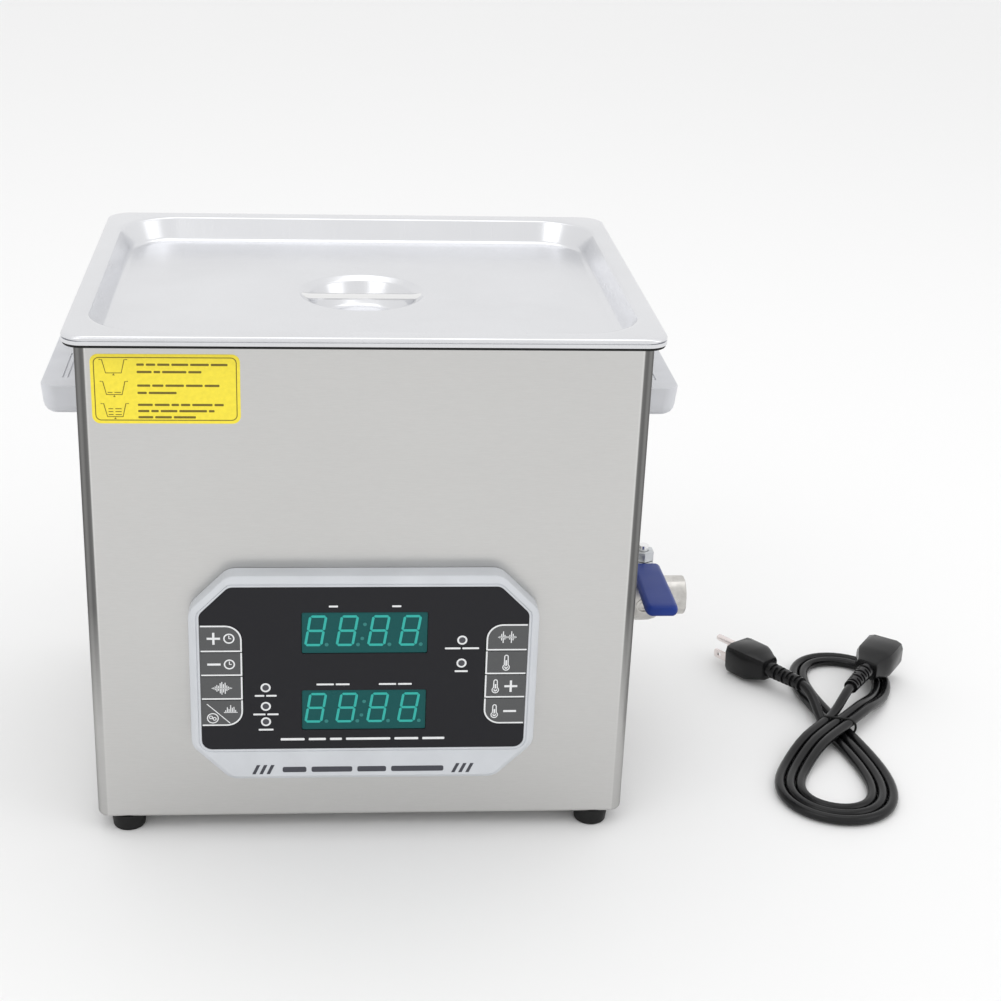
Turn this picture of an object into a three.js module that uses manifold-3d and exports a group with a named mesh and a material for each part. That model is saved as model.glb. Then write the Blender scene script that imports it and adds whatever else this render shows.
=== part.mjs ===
// Bench-top ultrasonic cleaner with a detached mains lead.
// A stainless cabinet carries a pressed tank, a lift-off lid, a control panel, two grips, a side
// drain valve and the electronics under the tank.
// Millimetres. +X is the user's right, +Y the back, +Z up, and the unit stands on z = 0.

import * as THREE from 'three';
import { mergeVertices } from 'three/addons/utils/BufferGeometryUtils.js';
import Module from 'manifold-3d';

// ---------------------------------------------------------------- driving dimensions

const GAP = 0.3;             // between pieces that touch
const THROUGH = 1;           // how far a cutting shape passes beyond a face
const HEIGHT = 315;          // floor to the lid's border

const CABINET = { width: 318, depth: 255, radius: 8, wall: 1.5 };
const FOOT = { height: 10, radius: 10.5, insetX: 18, insetFront: 10, insetBack: 14 };

const LID = { width: 330, depth: 270, radius: 12, sheet: 1.4, skirt: 5 };
const RECESS = { width: 308.4, depth: 245.6, radius: 36, drop: 14.2, run: 7 };
const DISH = { shoulderRadius: 38.5, shoulderDrop: 2.5, radius: 31, depth: 16 };
const STRAP = { length: 73, width: 13, thickness: 2.4 };

const SEAL = { width: 328.6, depth: 268.6, radius: 11.3, thickness: 1.4 };
const SEAL_HOLE = { width: 310.4, depth: 250.4 };
const BASE = { height: 10 };
const VENTS = { rows: 6, pitch: 12, length: 60, width: 5, x: 85, y: -60 };

const TANK = { width: 304, depth: 244, radius: 30, height: 150, sheet: 1.4, bottomRadius: 9 };
const FLANGE = { width: 321, depth: 258, radius: 9.5, leadIn: 1.6, leadInHeight: 6 };

const GRIP = { length: 110, reach: 30, height: 18, top: 259, radius: 9, wall: 3 };

const BEZEL = { width: 201, height: 132.6, chamfer: 22.5, depth: 14, wall: 3, centreZ: 109.3 };
const OVERLAY = { width: 188.4, height: 105, chamfer: 17, cornerRadius: 6, offsetY: 7.8, ledge: 4 };
const LAYERS = { cavity: 8.3, ledge: 11.9, keyBack: 12.7, face: 13.6 };
const CONTROL_BOARD = { width: 172, height: 84, cornerRadius: 3, thickness: 1.6 };
const WIRING_HOLE = { width: 60, height: 40 };
const KEYS = { inner: 69.6, cornerRadius: 10, rows: [146.2, 128.5, 113, 97.5, 79.9], seam: 0.4 };
const DISPLAY = { width: 71.8, height: 25.8, cornerRadius: 0.8, centres: [140.5, 90.3], face: 13.2 };

const DRAIN = { y: -10, z: 100, x: 112, pipeRadius: 10, bore: 7, bend: 22 };
const VALVE = { inlet: 2.5, outlet: 53, endRadius: 12.6, waistRadius: 16.5, ballRadius: 10.6, bore: 7.5 };
const STEM = { offset: 24.5, radius: 3.2, top: 36, neckRadius: 7.5, neckTop: 22 };
const LEVER = { length: 72, width: 12, thickness: 2.5, z: 23.5 };
const SLEEVE = { start: 11, end: 75, height: 7 };

const TRANSDUCER = { x: 75, y: 52, height: 55 };
const HEATER = { length: 170, height: 60, thickness: 2.4, z: 205 };
const SENSOR = { radius: 8, length: 8, y: 20 };
const BOARD = { x: -45, y: -38, length: 150, width: 96, thickness: 1.6, trayHeight: 12, traySheet: 1.5 };
const HEATSINK = { length: 42, width: 40, x: -31, y: 20, base: 4.5, height: 34, fins: 6, fin: 2 };
const TRANSFORMER = { length: 34, width: 30, height: 26, x: 25, y: 18 };
const CAPACITOR = { radius: 12, height: 38, x: 30, y: -24 };

const INLET = { x: -105, z: 62, width: 28, height: 20, depth: 20, face: 3 };
const INLET_FLANGE = { width: 50, height: 24, radius: 6 };
const SOCKET = { width: 24.4, height: 16.4, chamfer: 4, depth: 14 };
const SOCKET_PIN = { width: 2, height: 4, tip: -1, places: [[-7, -1.5], [7, -1.5], [0, 2.5]] };
const ROCKER = { x: -105, z: 98, width: 27, height: 21, depth: 16, angle: 11, face: 2.5 };
const ROCKER_WELL = { rim: 3, depth: 10 };
const ROCKER_CAP = { halfLength: 9.6, end: 3.2, middle: 1.8, halfBack: 8.6, back: 2.5, pivot: 6, width: 14 };
const FAN = { x: 55, z: 82, size: 80, depth: 25, bore: 38, hub: 17 };
const BLADES = { count: 7, chord: 19, thickness: 1.8, pitch: 38, depth: 18 };
const GUARD = { radii: [14, 25, 36], wire: 1.4, face: 2, barWidth: 3, barFace: 1.6 };

const HANK = { length: 230, width: 78, height: 7.2, x: 322, y: -22, turn: 15, clearance: 0.2 };
const WAIST = { length: 72, width: 46, radius: 12, height: 13.8 };
const RELIEF = { length: 30, start: 9.5, end: 11.4 };
const CONNECTOR = { width: 27, thickness: 20, length: 38, x: 8.3, y: 38, z: 17.5, turn: -21, tilt: 0 };
const PLUG = { width: 26, thickness: 22, length: 32, x: -25, y: 38.5, z: 15, turn: 47, tilt: -3.5 };
const EARTH_PIN = { radius: 2.4, length: 21, rise: 6 };
const BLADE = { width: 1.5, length: 17, height: 6.3, spacing: 12.7, rise: -3 };

// ---------------------------------------------------------------- levels up the unit

const CABINET_BOTTOM = FOOT.height + GAP;
const SKIRT_BOTTOM = HEIGHT - LID.skirt;
const SEAL_TOP = SKIRT_BOTTOM - GAP;
const FLANGE_TOP = SEAL_TOP - SEAL.thickness - GAP;
const FLANGE_BOTTOM = FLANGE_TOP - TANK.sheet;
const CABINET_TOP = FLANGE_BOTTOM - GAP;
const TANK_FLOOR = FLANGE_TOP - TANK.height;
const TANK_UNDERSIDE = TANK_FLOOR - TANK.sheet;
const PANEL_LEVEL = HEIGHT - RECESS.drop;
const BASE_TOP = CABINET_BOTTOM + CABINET.wall;

// ---------------------------------------------------------------- materials

function finish(colour, roughness, metalness) {
  return () => new THREE.MeshStandardMaterial({ color: colour, roughness, metalness });
}

const MATERIAL = {
  brushedSteel: finish(0xc9c9c6, 0.35, 1),
  polishedSteel: finish(0xdcdde0, 0.15, 1),
  zincPlated: finish(0xb4b6b8, 0.4, 1),
  aluminium: finish(0xb9bcc0, 0.45, 1),
  ferrite: finish(0x3c3c40, 0.6, 0),
  greyPlastic: finish(0xcdd1d6, 0.45, 0),
  overlayFilm: finish(0x2c2d31, 0.3, 0),
  keyFilm: finish(0x5a5c5e, 0.4, 0),
  displayGlass: finish(0x235f5a, 0.15, 0),
  blackRubber: finish(0x1c1c1c, 0.8, 0),
  blackPlastic: finish(0x1f1f20, 0.5, 0),
  blueVinyl: finish(0x2f4796, 0.4, 0),
  circuitBoard: finish(0x1d5a38, 0.5, 0),
  heaterMat: finish(0xb5482c, 0.7, 0),
  redPlastic: finish(0xb01818, 0.35, 0),
  nickelPins: finish(0xd8ccc4, 0.25, 1),
};

// ---------------------------------------------------------------- booleans

const wasm = await Module();
wasm.setup();

function toSolid(geometry) {
  const bare = geometry.clone();
  for (const name of Object.keys(bare.attributes)) {
    if (name !== 'position') bare.deleteAttribute(name);
  }
  const merged = mergeVertices(bare, 1e-4);
  const index = merged.index.array;
  const triangles = [];
  for (let i = 0; i < index.length; i += 3) {
    const [a, b, c] = [index[i], index[i + 1], index[i + 2]];
    if (a !== b && b !== c && c !== a) triangles.push(a, b, c);
  }
  const vertProperties = new Float32Array(merged.attributes.position.array);
  const triVerts = new Uint32Array(triangles);
  return new wasm.Manifold(new wasm.Mesh({ numProp: 3, vertProperties, triVerts }));
}

function toGeometry(solid) {
  const { vertProperties, triVerts } = solid.getMesh();
  const geometry = new THREE.BufferGeometry();
  geometry.setAttribute('position', new THREE.BufferAttribute(new Float32Array(vertProperties), 3));
  geometry.setIndex(new THREE.BufferAttribute(new Uint32Array(triVerts), 1));
  return geometry;
}

function join(...geometries) {
  return toGeometry(geometries.map(toSolid).reduce((whole, piece) => whole.add(piece)));
}

function cut(base, ...tools) {
  return toGeometry(tools.map(toSolid).reduce((whole, tool) => whole.subtract(tool), toSolid(base)));
}

// ---------------------------------------------------------------- outlines and shapes

// Corner-rounded rectangle as an anticlockwise list of points.
function roundedRect(width, height, radius, steps = 5) {
  const points = [];
  const corners = [[1, 1], [-1, 1], [-1, -1], [1, -1]];
  corners.forEach(([sx, sy], corner) => {
    for (let i = 0; i <= steps; i += 1) {
      const angle = (corner + i / steps) * Math.PI / 2;
      const x = sx * (width / 2 - radius) + radius * Math.cos(angle);
      const y = sy * (height / 2 - radius) + radius * Math.sin(angle);
      points.push(new THREE.Vector2(x, y));
    }
  });
  return points;
}

// Rectangle with its corners cut at 45 degrees, pulled in by `inset` all round.
function chamferedRect(width, height, topChamfer, bottomChamfer, inset = 0) {
  const x = width / 2 - inset;
  const y = height / 2 - inset;
  const top = topChamfer - inset * (2 - Math.SQRT2);
  const bottom = bottomChamfer - inset * (2 - Math.SQRT2);
  return [
    [x, y - top], [x - top, y], [-x + top, y], [-x, y - top],
    [-x, -y + bottom], [-x + bottom, -y], [x - bottom, -y], [x, -y + bottom],
  ].map(([px, py]) => new THREE.Vector2(px, py));
}

// Closed solid through outlines with equal numbers of points, listed from the bottom up.
function loft(sections) {
  const count = sections[0].outline.length;
  const positions = sections.flatMap(({ outline, z }) => outline.flatMap((p) => [p.x, p.y, z]));
  const index = [];
  for (let s = 0; s < sections.length - 1; s += 1) {
    for (let i = 0; i < count; i += 1) {
      const j = (i + 1) % count;
      const low = s * count;
      const high = low + count;
      index.push(low + i, low + j, high + j, low + i, high + j, high + i);
    }
  }
  const last = (sections.length - 1) * count;
  for (const [a, b, c] of THREE.ShapeUtils.triangulateShape(sections[0].outline, [])) index.push(a, c, b);
  for (const [a, b, c] of THREE.ShapeUtils.triangulateShape(sections.at(-1).outline, [])) {
    index.push(last + a, last + b, last + c);
  }
  const geometry = new THREE.BufferGeometry();
  geometry.setAttribute('position', new THREE.Float32BufferAttribute(positions, 3));
  geometry.setIndex(index);
  return geometry;
}

function prism(outline, bottom, top) {
  return new THREE.ExtrudeGeometry(new THREE.Shape(outline), { depth: top - bottom, bevelEnabled: false })
    .translate(0, 0, bottom);
}

function box(width, depth, bottom, top, x = 0, y = 0) {
  return new THREE.BoxGeometry(width, depth, top - bottom).translate(x, y, (top + bottom) / 2);
}

function cylinder(radius, bottom, top, sides = 24, x = 0, y = 0) {
  return new THREE.CylinderGeometry(radius, radius, top - bottom, sides)
    .rotateX(Math.PI / 2)
    .translate(x, y, (top + bottom) / 2);
}

// Body of revolution about Z from [radius, z] pairs, listed from the bottom up.
function turned(profile, sides = 24) {
  const points = profile.map(([r, z]) => new THREE.Vector2(r, z));
  return new THREE.LatheGeometry(points, sides).rotateX(Math.PI / 2);
}

function sweep(path, outline, steps, hole) {
  const shape = new THREE.Shape(outline);
  if (hole) shape.holes.push(new THREE.Path(hole));
  return new THREE.ExtrudeGeometry(shape, { extrudePath: path, steps, bevelEnabled: false });
}

function circle(radius, sides) {
  return Array.from({ length: sides }, (_, i) => {
    const angle = 2 * Math.PI * i / sides;
    return new THREE.Vector2(radius * Math.cos(angle), radius * Math.sin(angle));
  });
}

// ---------------------------------------------------------------- scene helpers

function part(name, geometry, material) {
  const mesh = new THREE.Mesh(geometry, material());
  mesh.name = name;
  return mesh;
}

function placed(object, x, y, z) {
  object.position.set(x, y, z);
  return object;
}

function group(...children) {
  const result = new THREE.Group();
  result.add(...children);
  return result;
}

// Turns a group so that its own +Z points along `outward` and its own +Y points up.
function facing(object, outward) {
  const up = new THREE.Vector3(0, 0, 1);
  const across = new THREE.Vector3().crossVectors(up, outward);
  object.quaternion.setFromRotationMatrix(new THREE.Matrix4().makeBasis(across, up, outward));
  return object;
}

const FRONT = new THREE.Vector3(0, -1, 0);
const BACK = new THREE.Vector3(0, 1, 0);
const RIGHT = new THREE.Vector3(1, 0, 0);
const LEFT = new THREE.Vector3(-1, 0, 0);

// ---------------------------------------------------------------- cabinet, base and feet

function cabinetShell() {
  const { width, depth, radius, wall } = CABINET;
  const outer = prism(roundedRect(width, depth, radius), CABINET_BOTTOM, CABINET_TOP);
  const inner = prism(
    roundedRect(width - 2 * wall, depth - 2 * wall, radius - wall),
    CABINET_BOTTOM - THROUGH,
    CABINET_TOP + THROUGH,
  );
  const wallCut = 2 * wall + 2;
  const half = WIRING_HOLE.height / 2;
  const wiring = box(WIRING_HOLE.width, wallCut, BEZEL.centreZ - half, BEZEL.centreZ + half, 0, -depth / 2);
  const drainHole = cylinder(DRAIN.pipeRadius + GAP, -wallCut, wallCut, 24)
    .rotateY(Math.PI / 2)
    .translate(width / 2, DRAIN.y, DRAIN.z);
  const fanHole = cylinder(FAN.bore, -wallCut, wallCut, 32)
    .rotateX(Math.PI / 2)
    .translate(-FAN.x, depth / 2, FAN.z);
  const socketHoles = [INLET, ROCKER].map(({ x, z, width: w, height: h }) => (
    box(w + 2 * GAP, wallCut, z - h / 2 - GAP, z + h / 2 + GAP, -x, depth / 2)
  ));
  const shell = cut(outer, inner, wiring, drainHole, fanHole, ...socketHoles);
  return part('cabinet_shell', shell, MATERIAL.brushedSteel);
}

function basePlate() {
  const { width, depth, radius, wall } = CABINET;
  const outline = (inset) => {
    const edge = 2 * (wall + GAP + inset);
    return roundedRect(width - edge, depth - edge, radius - wall - GAP - inset);
  };
  const rim = CABINET_BOTTOM + BASE.height;
  const tray = prism(outline(0), CABINET_BOTTOM, rim);
  const hollow = prism(outline(wall), BASE_TOP, rim + THROUGH);
  const [low, high] = [CABINET_BOTTOM - THROUGH, BASE_TOP + THROUGH];
  const slots = Array.from({ length: VENTS.rows }, (_, row) => (
    box(VENTS.length, VENTS.width, low, high, VENTS.x, VENTS.y + row * VENTS.pitch)
  ));
  return part('base_plate', cut(tray, hollow, ...slots), MATERIAL.zincPlated);
}

function feet() {
  const { height, radius } = FOOT;
  const dome = [[0, 0], [5.5, 0], [8.6, 1.6], [10.2, 5], [radius, height], [0, height]];
  const x = CABINET.width / 2 - FOOT.insetX;
  const front = -CABINET.depth / 2 + FOOT.insetFront;
  const back = CABINET.depth / 2 - FOOT.insetBack;
  return [
    ['foot_front_left', -x, front],
    ['foot_front_right', x, front],
    ['foot_back_left', -x, back],
    ['foot_back_right', x, back],
  ].map(([name, px, py]) => placed(part(name, turned(dome, 16), MATERIAL.blackRubber), px, py, 0));
}

// ---------------------------------------------------------------- tank, seal and lid

// The tank's shape, grown outwards by `offset`: a rounded floor, plain walls and a flared mouth.
function tankSections(offset, bottom) {
  const { width, depth, radius, bottomRadius } = TANK;
  const outline = (grow) => roundedRect(width + 2 * grow, depth + 2 * grow, radius + grow);
  const curve = [0, 30, 60, 90].map((degrees) => {
    const angle = THREE.MathUtils.degToRad(degrees);
    return {
      outline: outline(offset - bottomRadius * (1 - Math.sin(angle))),
      z: bottom + bottomRadius * (1 - Math.cos(angle)),
    };
  });
  const mouth = [
    { outline: outline(offset), z: FLANGE_TOP - FLANGE.leadInHeight },
    { outline: outline(offset + FLANGE.leadIn), z: FLANGE_TOP },
  ];
  return [...curve, ...mouth];
}

function tank() {
  const outer = loft(tankSections(TANK.sheet, TANK_UNDERSIDE));
  const inner = tankSections(0, TANK_FLOOR);
  inner.push({ outline: inner.at(-1).outline, z: FLANGE_TOP + THROUGH });
  const flange = prism(roundedRect(FLANGE.width, FLANGE.depth, FLANGE.radius), FLANGE_BOTTOM, FLANGE_TOP);
  const [low, high] = [TANK_UNDERSIDE - THROUGH, TANK_FLOOR + THROUGH];
  const drainHole = cylinder(DRAIN.bore, low, high, 20, DRAIN.x, DRAIN.y);
  return part('tank', cut(join(outer, flange), loft(inner), drainHole), MATERIAL.polishedSteel);
}

function rimSeal() {
  const { width, depth, radius, thickness } = SEAL;
  const bottom = SEAL_TOP - thickness;
  const strip = prism(roundedRect(width, depth, radius), bottom, SEAL_TOP);
  const hole = roundedRect(SEAL_HOLE.width, SEAL_HOLE.depth, RECESS.radius);
  const opening = prism(hole, bottom - THROUGH, SEAL_TOP + THROUGH);
  return part('rim_seal', cut(strip, opening), MATERIAL.blackRubber);
}

// The pressed pan in the lid: its sloping sides, grown outwards by `grow` and sunk by `sink`.
function recessPan(grow, sink, top) {
  const { width, depth, radius, run } = RECESS;
  const outline = (inset) => {
    const edge = 2 * (inset - grow);
    return roundedRect(width - edge, depth - edge, radius - inset + grow);
  };
  return loft([
    { outline: outline(run), z: PANEL_LEVEL - sink },
    { outline: outline(0), z: HEIGHT - (sink ? LID.sheet : 0) },
    { outline: outline(0), z: top },
  ]);
}

// The round finger dish with the shoulder that the strap lies in, from its floor up to `top`.
function dish(grow, top) {
  const { shoulderRadius, shoulderDrop, radius, depth } = DISH;
  const shoulder = PANEL_LEVEL - shoulderDrop - grow;
  const profile = [[0, shoulder - depth]];
  for (const degrees of [22, 45, 68, 90]) {
    const angle = THREE.MathUtils.degToRad(degrees);
    profile.push([(radius + grow) * Math.sin(angle), shoulder - depth * Math.cos(angle)]);
  }
  profile.push([shoulderRadius + grow, shoulder], [shoulderRadius + grow, top], [0, top]);
  return turned(profile, 28);
}

function lid() {
  const { width, depth, radius, sheet, skirt } = LID;
  const border = prism(roundedRect(width, depth, radius), HEIGHT - skirt, HEIGHT);
  const underside = prism(
    roundedRect(width - 2 * sheet, depth - 2 * sheet, radius - sheet),
    HEIGHT - skirt - THROUGH,
    HEIGHT - sheet,
  );
  const pan = recessPan(sheet, sheet, HEIGHT - sheet / 2);
  const shell = join(cut(border, underside), pan, dish(sheet, PANEL_LEVEL - sheet / 2));
  const pressed = cut(shell, recessPan(0, 0, HEIGHT + THROUGH), dish(0, PANEL_LEVEL + THROUGH));
  return part('lid', pressed, MATERIAL.polishedSteel);
}

function lidStrap() {
  const bottom = PANEL_LEVEL - DISH.shoulderDrop + GAP;
  const strap = prism(roundedRect(STRAP.length, STRAP.width, 3, 3), bottom, bottom + STRAP.thickness);
  return part('lid_strap', strap, MATERIAL.polishedSteel);
}

// ---------------------------------------------------------------- side grips

function grip(name, outward) {
  const { length, reach, height, radius, wall, top } = GRIP;
  const outline = (inset) => roundedRect(length - 2 * inset, 2 * (reach - inset), radius - inset / 2, 4);
  const body = loft([
    { outline: outline(1.5), z: -height },
    { outline: outline(0), z: -height + 1.5 },
    { outline: outline(0), z: -1.5 },
    { outline: outline(1.5), z: 0 },
  ]);
  const innerHalf = box(length + 2, reach + 2, -height - THROUGH, THROUGH, 0, (reach + 2) / 2 - 0.001);
  const pocket = box(length - 2 * wall, reach - 2 * wall, -height - THROUGH, -wall, 0, -reach / 2);
  const geometry = cut(body, innerHalf, pocket).rotateX(-Math.PI / 2);
  const holder = facing(group(part(name, geometry, MATERIAL.greyPlastic)), outward);
  return placed(holder, outward.x * (CABINET.width / 2 + GAP), 0, top);
}

// ---------------------------------------------------------------- control panel
// The panel's own frame: +X right, +Y up, +Z towards the user, z = 0 on the cabinet's front.

function bezel() {
  const { width, height, chamfer, depth, wall } = BEZEL;
  const outline = (inset) => chamferedRect(width, height, chamfer, chamfer, inset);
  const shell = loft([
    { outline: outline(0), z: GAP },
    { outline: outline(0.4), z: depth - 2 },
    { outline: outline(1), z: depth - 0.8 },
    { outline: outline(2), z: depth },
  ]);
  const cavity = prism(outline(wall), 0, LAYERS.cavity);
  const seat = prism(overlayOutline(-GAP), LAYERS.ledge, depth + THROUGH).translate(0, OVERLAY.offsetY, 0);
  const window = prism(overlayOutline(OVERLAY.ledge), 1, depth + THROUGH).translate(0, OVERLAY.offsetY, 0);
  return part('panel_bezel', cut(shell, cavity, seat, window), MATERIAL.greyPlastic);
}

// The film's outline: 45 degree corners at the top, rounded corners at the bottom.
function overlayOutline(inset) {
  const { width, height, chamfer, cornerRadius } = OVERLAY;
  const x = width / 2 - inset;
  const y = height / 2 - inset;
  const cutOff = chamfer - inset * (2 - Math.SQRT2);
  const radius = Math.max(cornerRadius - inset, 1);
  const points = [[x, y - cutOff], [x - cutOff, y], [-x + cutOff, y], [-x, y - cutOff]];
  for (const [side, start] of [[-1, Math.PI], [1, 1.5 * Math.PI]]) {
    for (let i = 0; i <= 4; i += 1) {
      const angle = start + i * Math.PI / 8;
      points.push([side * (x - radius) + radius * Math.cos(angle), -y + radius + radius * Math.sin(angle)]);
    }
  }
  return points.map(([px, py]) => new THREE.Vector2(px, py));
}

// Outline of one key: straight outer edge, with the pad's inner corner rounded on an end key.
function keyOutline(side, row, seam) {
  const outer = OVERLAY.width / 2 - seam / 4;
  const inner = KEYS.inner + seam;
  const top = KEYS.rows[row] - BEZEL.centreZ - seam;
  const bottom = KEYS.rows[row + 1] - BEZEL.centreZ + seam;
  const radius = KEYS.cornerRadius - seam;
  const points = [[outer, bottom], [outer, top]];
  const arc = (centreY, start) => {
    for (let i = 0; i <= 4; i += 1) {
      const angle = start + i * Math.PI / 8;
      points.push([inner + radius + radius * Math.cos(angle), centreY + radius * Math.sin(angle)]);
    }
  };
  if (row === 0) arc(top - radius, Math.PI / 2);
  else points.push([inner, top]);
  if (row === KEYS.rows.length - 2) arc(bottom + radius, Math.PI);
  else points.push([inner, bottom]);
  const outline = points.map(([px, py]) => new THREE.Vector2(side * px, py));
  return side > 0 ? outline : outline.reverse();
}

function key(name, side, row) {
  const plate = prism(keyOutline(side, row, KEYS.seam), LAYERS.keyBack, LAYERS.face);
  const x = side * (KEYS.inner + OVERLAY.width / 2) / 2;
  const y = (KEYS.rows[row] + KEYS.rows[row + 1]) / 2 - BEZEL.centreZ;
  const plunger = cylinder(2, LAYERS.cavity + 0.5, LAYERS.keyBack + 0.2, 12, x, y);
  return part(name, join(plate, plunger), MATERIAL.keyFilm);
}

function overlay() {
  const film = prism(overlayOutline(0), LAYERS.ledge + GAP, LAYERS.face).translate(0, OVERLAY.offsetY, 0);
  const from = LAYERS.ledge - THROUGH;
  const to = LAYERS.face + THROUGH;
  const padTop = KEYS.rows[0] - BEZEL.centreZ;
  const padBottom = KEYS.rows.at(-1) - BEZEL.centreZ;
  const pads = [-1, 1].map((side) => {
    const width = OVERLAY.width / 2 - KEYS.inner + KEYS.cornerRadius * 2;
    const outline = roundedRect(width, padTop - padBottom, KEYS.cornerRadius, 4);
    return prism(outline, from, to).translate(side * (KEYS.inner + width / 2), (padTop + padBottom) / 2, 0);
  });
  const windows = DISPLAY.centres.map((z) => (
    prism(roundedRect(DISPLAY.width + 2 * GAP, DISPLAY.height + 2 * GAP, 1, 2), from, to)
      .translate(0, z - BEZEL.centreZ, 0)
  ));
  return part('panel_overlay', cut(film, ...pads, ...windows), MATERIAL.overlayFilm);
}

function display(name, z) {
  const outline = roundedRect(DISPLAY.width, DISPLAY.height, DISPLAY.cornerRadius, 2);
  const module = prism(outline, LAYERS.cavity + GAP, DISPLAY.face);
  return placed(part(name, module, MATERIAL.displayGlass), 0, z - BEZEL.centreZ, 0);
}

function controlBoard() {
  const { width, height, cornerRadius, thickness } = CONTROL_BOARD;
  const face = LAYERS.cavity - GAP;
  const board = prism(roundedRect(width, height, cornerRadius, 2), face - thickness, face);
  return placed(part('control_board', board, MATERIAL.circuitBoard), 0, OVERLAY.offsetY, 0);
}

function controlPanel() {
  const leftKeys = ['key_time_up', 'key_time_down', 'key_full_wave', 'key_degas_half_wave'];
  const rightKeys = ['key_sweep', 'key_heat', 'key_temp_up', 'key_temp_down'];
  const panel = group(
    bezel(),
    overlay(),
    controlBoard(),
    display('display_timer', DISPLAY.centres[0]),
    display('display_temperature', DISPLAY.centres[1]),
    ...leftKeys.map((name, row) => key(name, -1, row)),
    ...rightKeys.map((name, row) => key(name, 1, row)),
  );
  return placed(facing(panel, FRONT), 0, -CABINET.depth / 2, BEZEL.centreZ);
}

// ---------------------------------------------------------------- drain pipe and ball valve

function drainPipe() {
  const path = new THREE.CurvePath();
  const start = new THREE.Vector3(DRAIN.x, DRAIN.y, TANK_UNDERSIDE - GAP);
  const corner = new THREE.Vector3(DRAIN.x, DRAIN.y, DRAIN.z);
  const beforeBend = corner.clone().setZ(DRAIN.z + DRAIN.bend);
  const afterBend = corner.clone().setX(DRAIN.x + DRAIN.bend);
  const end = corner.clone().setX(CABINET.width / 2 + VALVE.inlet + 8);
  path.add(new THREE.LineCurve3(start, beforeBend));
  path.add(new THREE.QuadraticBezierCurve3(beforeBend, corner, afterBend));
  path.add(new THREE.LineCurve3(afterBend, end));
  const pipe = sweep(path, circle(DRAIN.pipeRadius, 12), 15, circle(DRAIN.bore, 12));
  return part('drain_pipe', pipe, MATERIAL.zincPlated);
}

// The valve's own frame: +Z along the pipe away from the cabinet, z = 0 on its side, +Y up.
function valveBody() {
  const { inlet, outlet, endRadius, waistRadius, ballRadius, bore } = VALVE;
  const centre = STEM.offset;
  const outer = turned([
    [0, inlet], [14.5, inlet], [14.5, inlet + 8], [waistRadius, centre - 10], [waistRadius, centre + 10],
    [endRadius, centre + 14], [endRadius, outlet - 1], [endRadius - 1, outlet], [0, outlet],
  ], 24);
  const neck = cylinder(STEM.neckRadius, 0, STEM.neckTop, 16).rotateX(-Math.PI / 2).translate(0, 0, centre);
  const stemHole = cylinder(STEM.radius + GAP, 0, STEM.neckTop + THROUGH, 16)
    .rotateX(-Math.PI / 2)
    .translate(0, 0, centre);
  const waterway = cylinder(bore, inlet - THROUGH, outlet + THROUGH, 20);
  const inletThread = cylinder(DRAIN.pipeRadius + GAP, inlet - THROUGH, inlet + 8 + GAP, 20);
  const outletThread = cylinder(9.5, outlet - 14, outlet + THROUGH, 20);
  const ballSeat = new THREE.SphereGeometry(ballRadius + 2 * GAP, 16, 12).translate(0, 0, centre);
  const tools = [waterway, inletThread, outletThread, ballSeat, stemHole];
  return part('valve_body', cut(join(outer, neck), ...tools), MATERIAL.zincPlated);
}

function valveBall() {
  const ball = new THREE.SphereGeometry(VALVE.ballRadius, 16, 10);
  const waterway = cylinder(VALVE.bore - 1, -20, 20, 16).rotateY(Math.PI / 2);
  return placed(part('valve_ball', cut(ball, waterway), MATERIAL.polishedSteel), 0, 0, STEM.offset);
}

// The stem, lever and nut share a frame whose +Z is up, centred on the stem.
function leverGroup() {
  const stem = cylinder(STEM.radius, VALVE.ballRadius + GAP, STEM.top, 16);
  const { length, width, thickness, z } = LEVER;
  const { start, end, height } = SLEEVE;
  const strip = cut(
    join(
      cylinder(width / 2 + 1, z, z + thickness, 20),
      box(width, length, z, z + thickness, 0, -length / 2),
    ),
    cylinder(STEM.radius + GAP, z - THROUGH, z + thickness + THROUGH, 16),
  );
  const middle = z + thickness / 2;
  const outline = (grow) => [
    [-6.5 - grow, -start], [-8.6 - grow, -end + 6], [-6 - grow, -end],
    [6 + grow, -end], [8.6 + grow, -end + 6], [6.5 + grow, -start],
  ].map(([x, y]) => new THREE.Vector2(x, y));
  const sleeve = cut(
    loft([
      { outline: outline(0), z: middle - height / 2 },
      { outline: outline(1), z: middle - height / 4 },
      { outline: outline(1), z: middle + height / 4 },
      { outline: outline(0), z: middle + height / 2 },
    ]),
    box(width + 2 * GAP, length, z - GAP, z + thickness + GAP, 0, -length / 2 - GAP),
  );
  const nutBottom = z + thickness + GAP;
  const nut = cut(
    cylinder(7.2, nutBottom, nutBottom + 6, 6),
    cylinder(STEM.radius + GAP, nutBottom - THROUGH, nutBottom + 6 + THROUGH, 16),
  );
  return group(
    part('valve_stem', stem, MATERIAL.zincPlated),
    part('valve_lever', strip, MATERIAL.zincPlated),
    part('lever_sleeve', sleeve, MATERIAL.blueVinyl),
    part('lever_nut', nut, MATERIAL.zincPlated),
  );
}

function wallNut() {
  const inside = -CABINET.wall - GAP;
  const nut = cut(
    cylinder(15, inside - 6, inside, 6),
    cylinder(DRAIN.pipeRadius + GAP, inside - 6 - THROUGH, inside + THROUGH, 20),
  );
  return part('drain_wall_nut', nut, MATERIAL.zincPlated);
}

function wallWasher() {
  const washer = cut(
    cylinder(15.5, GAP, VALVE.inlet - GAP, 24),
    cylinder(DRAIN.pipeRadius + GAP, GAP - THROUGH, VALVE.inlet + THROUGH, 20),
  );
  return part('drain_washer', washer, MATERIAL.blackRubber);
}

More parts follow.
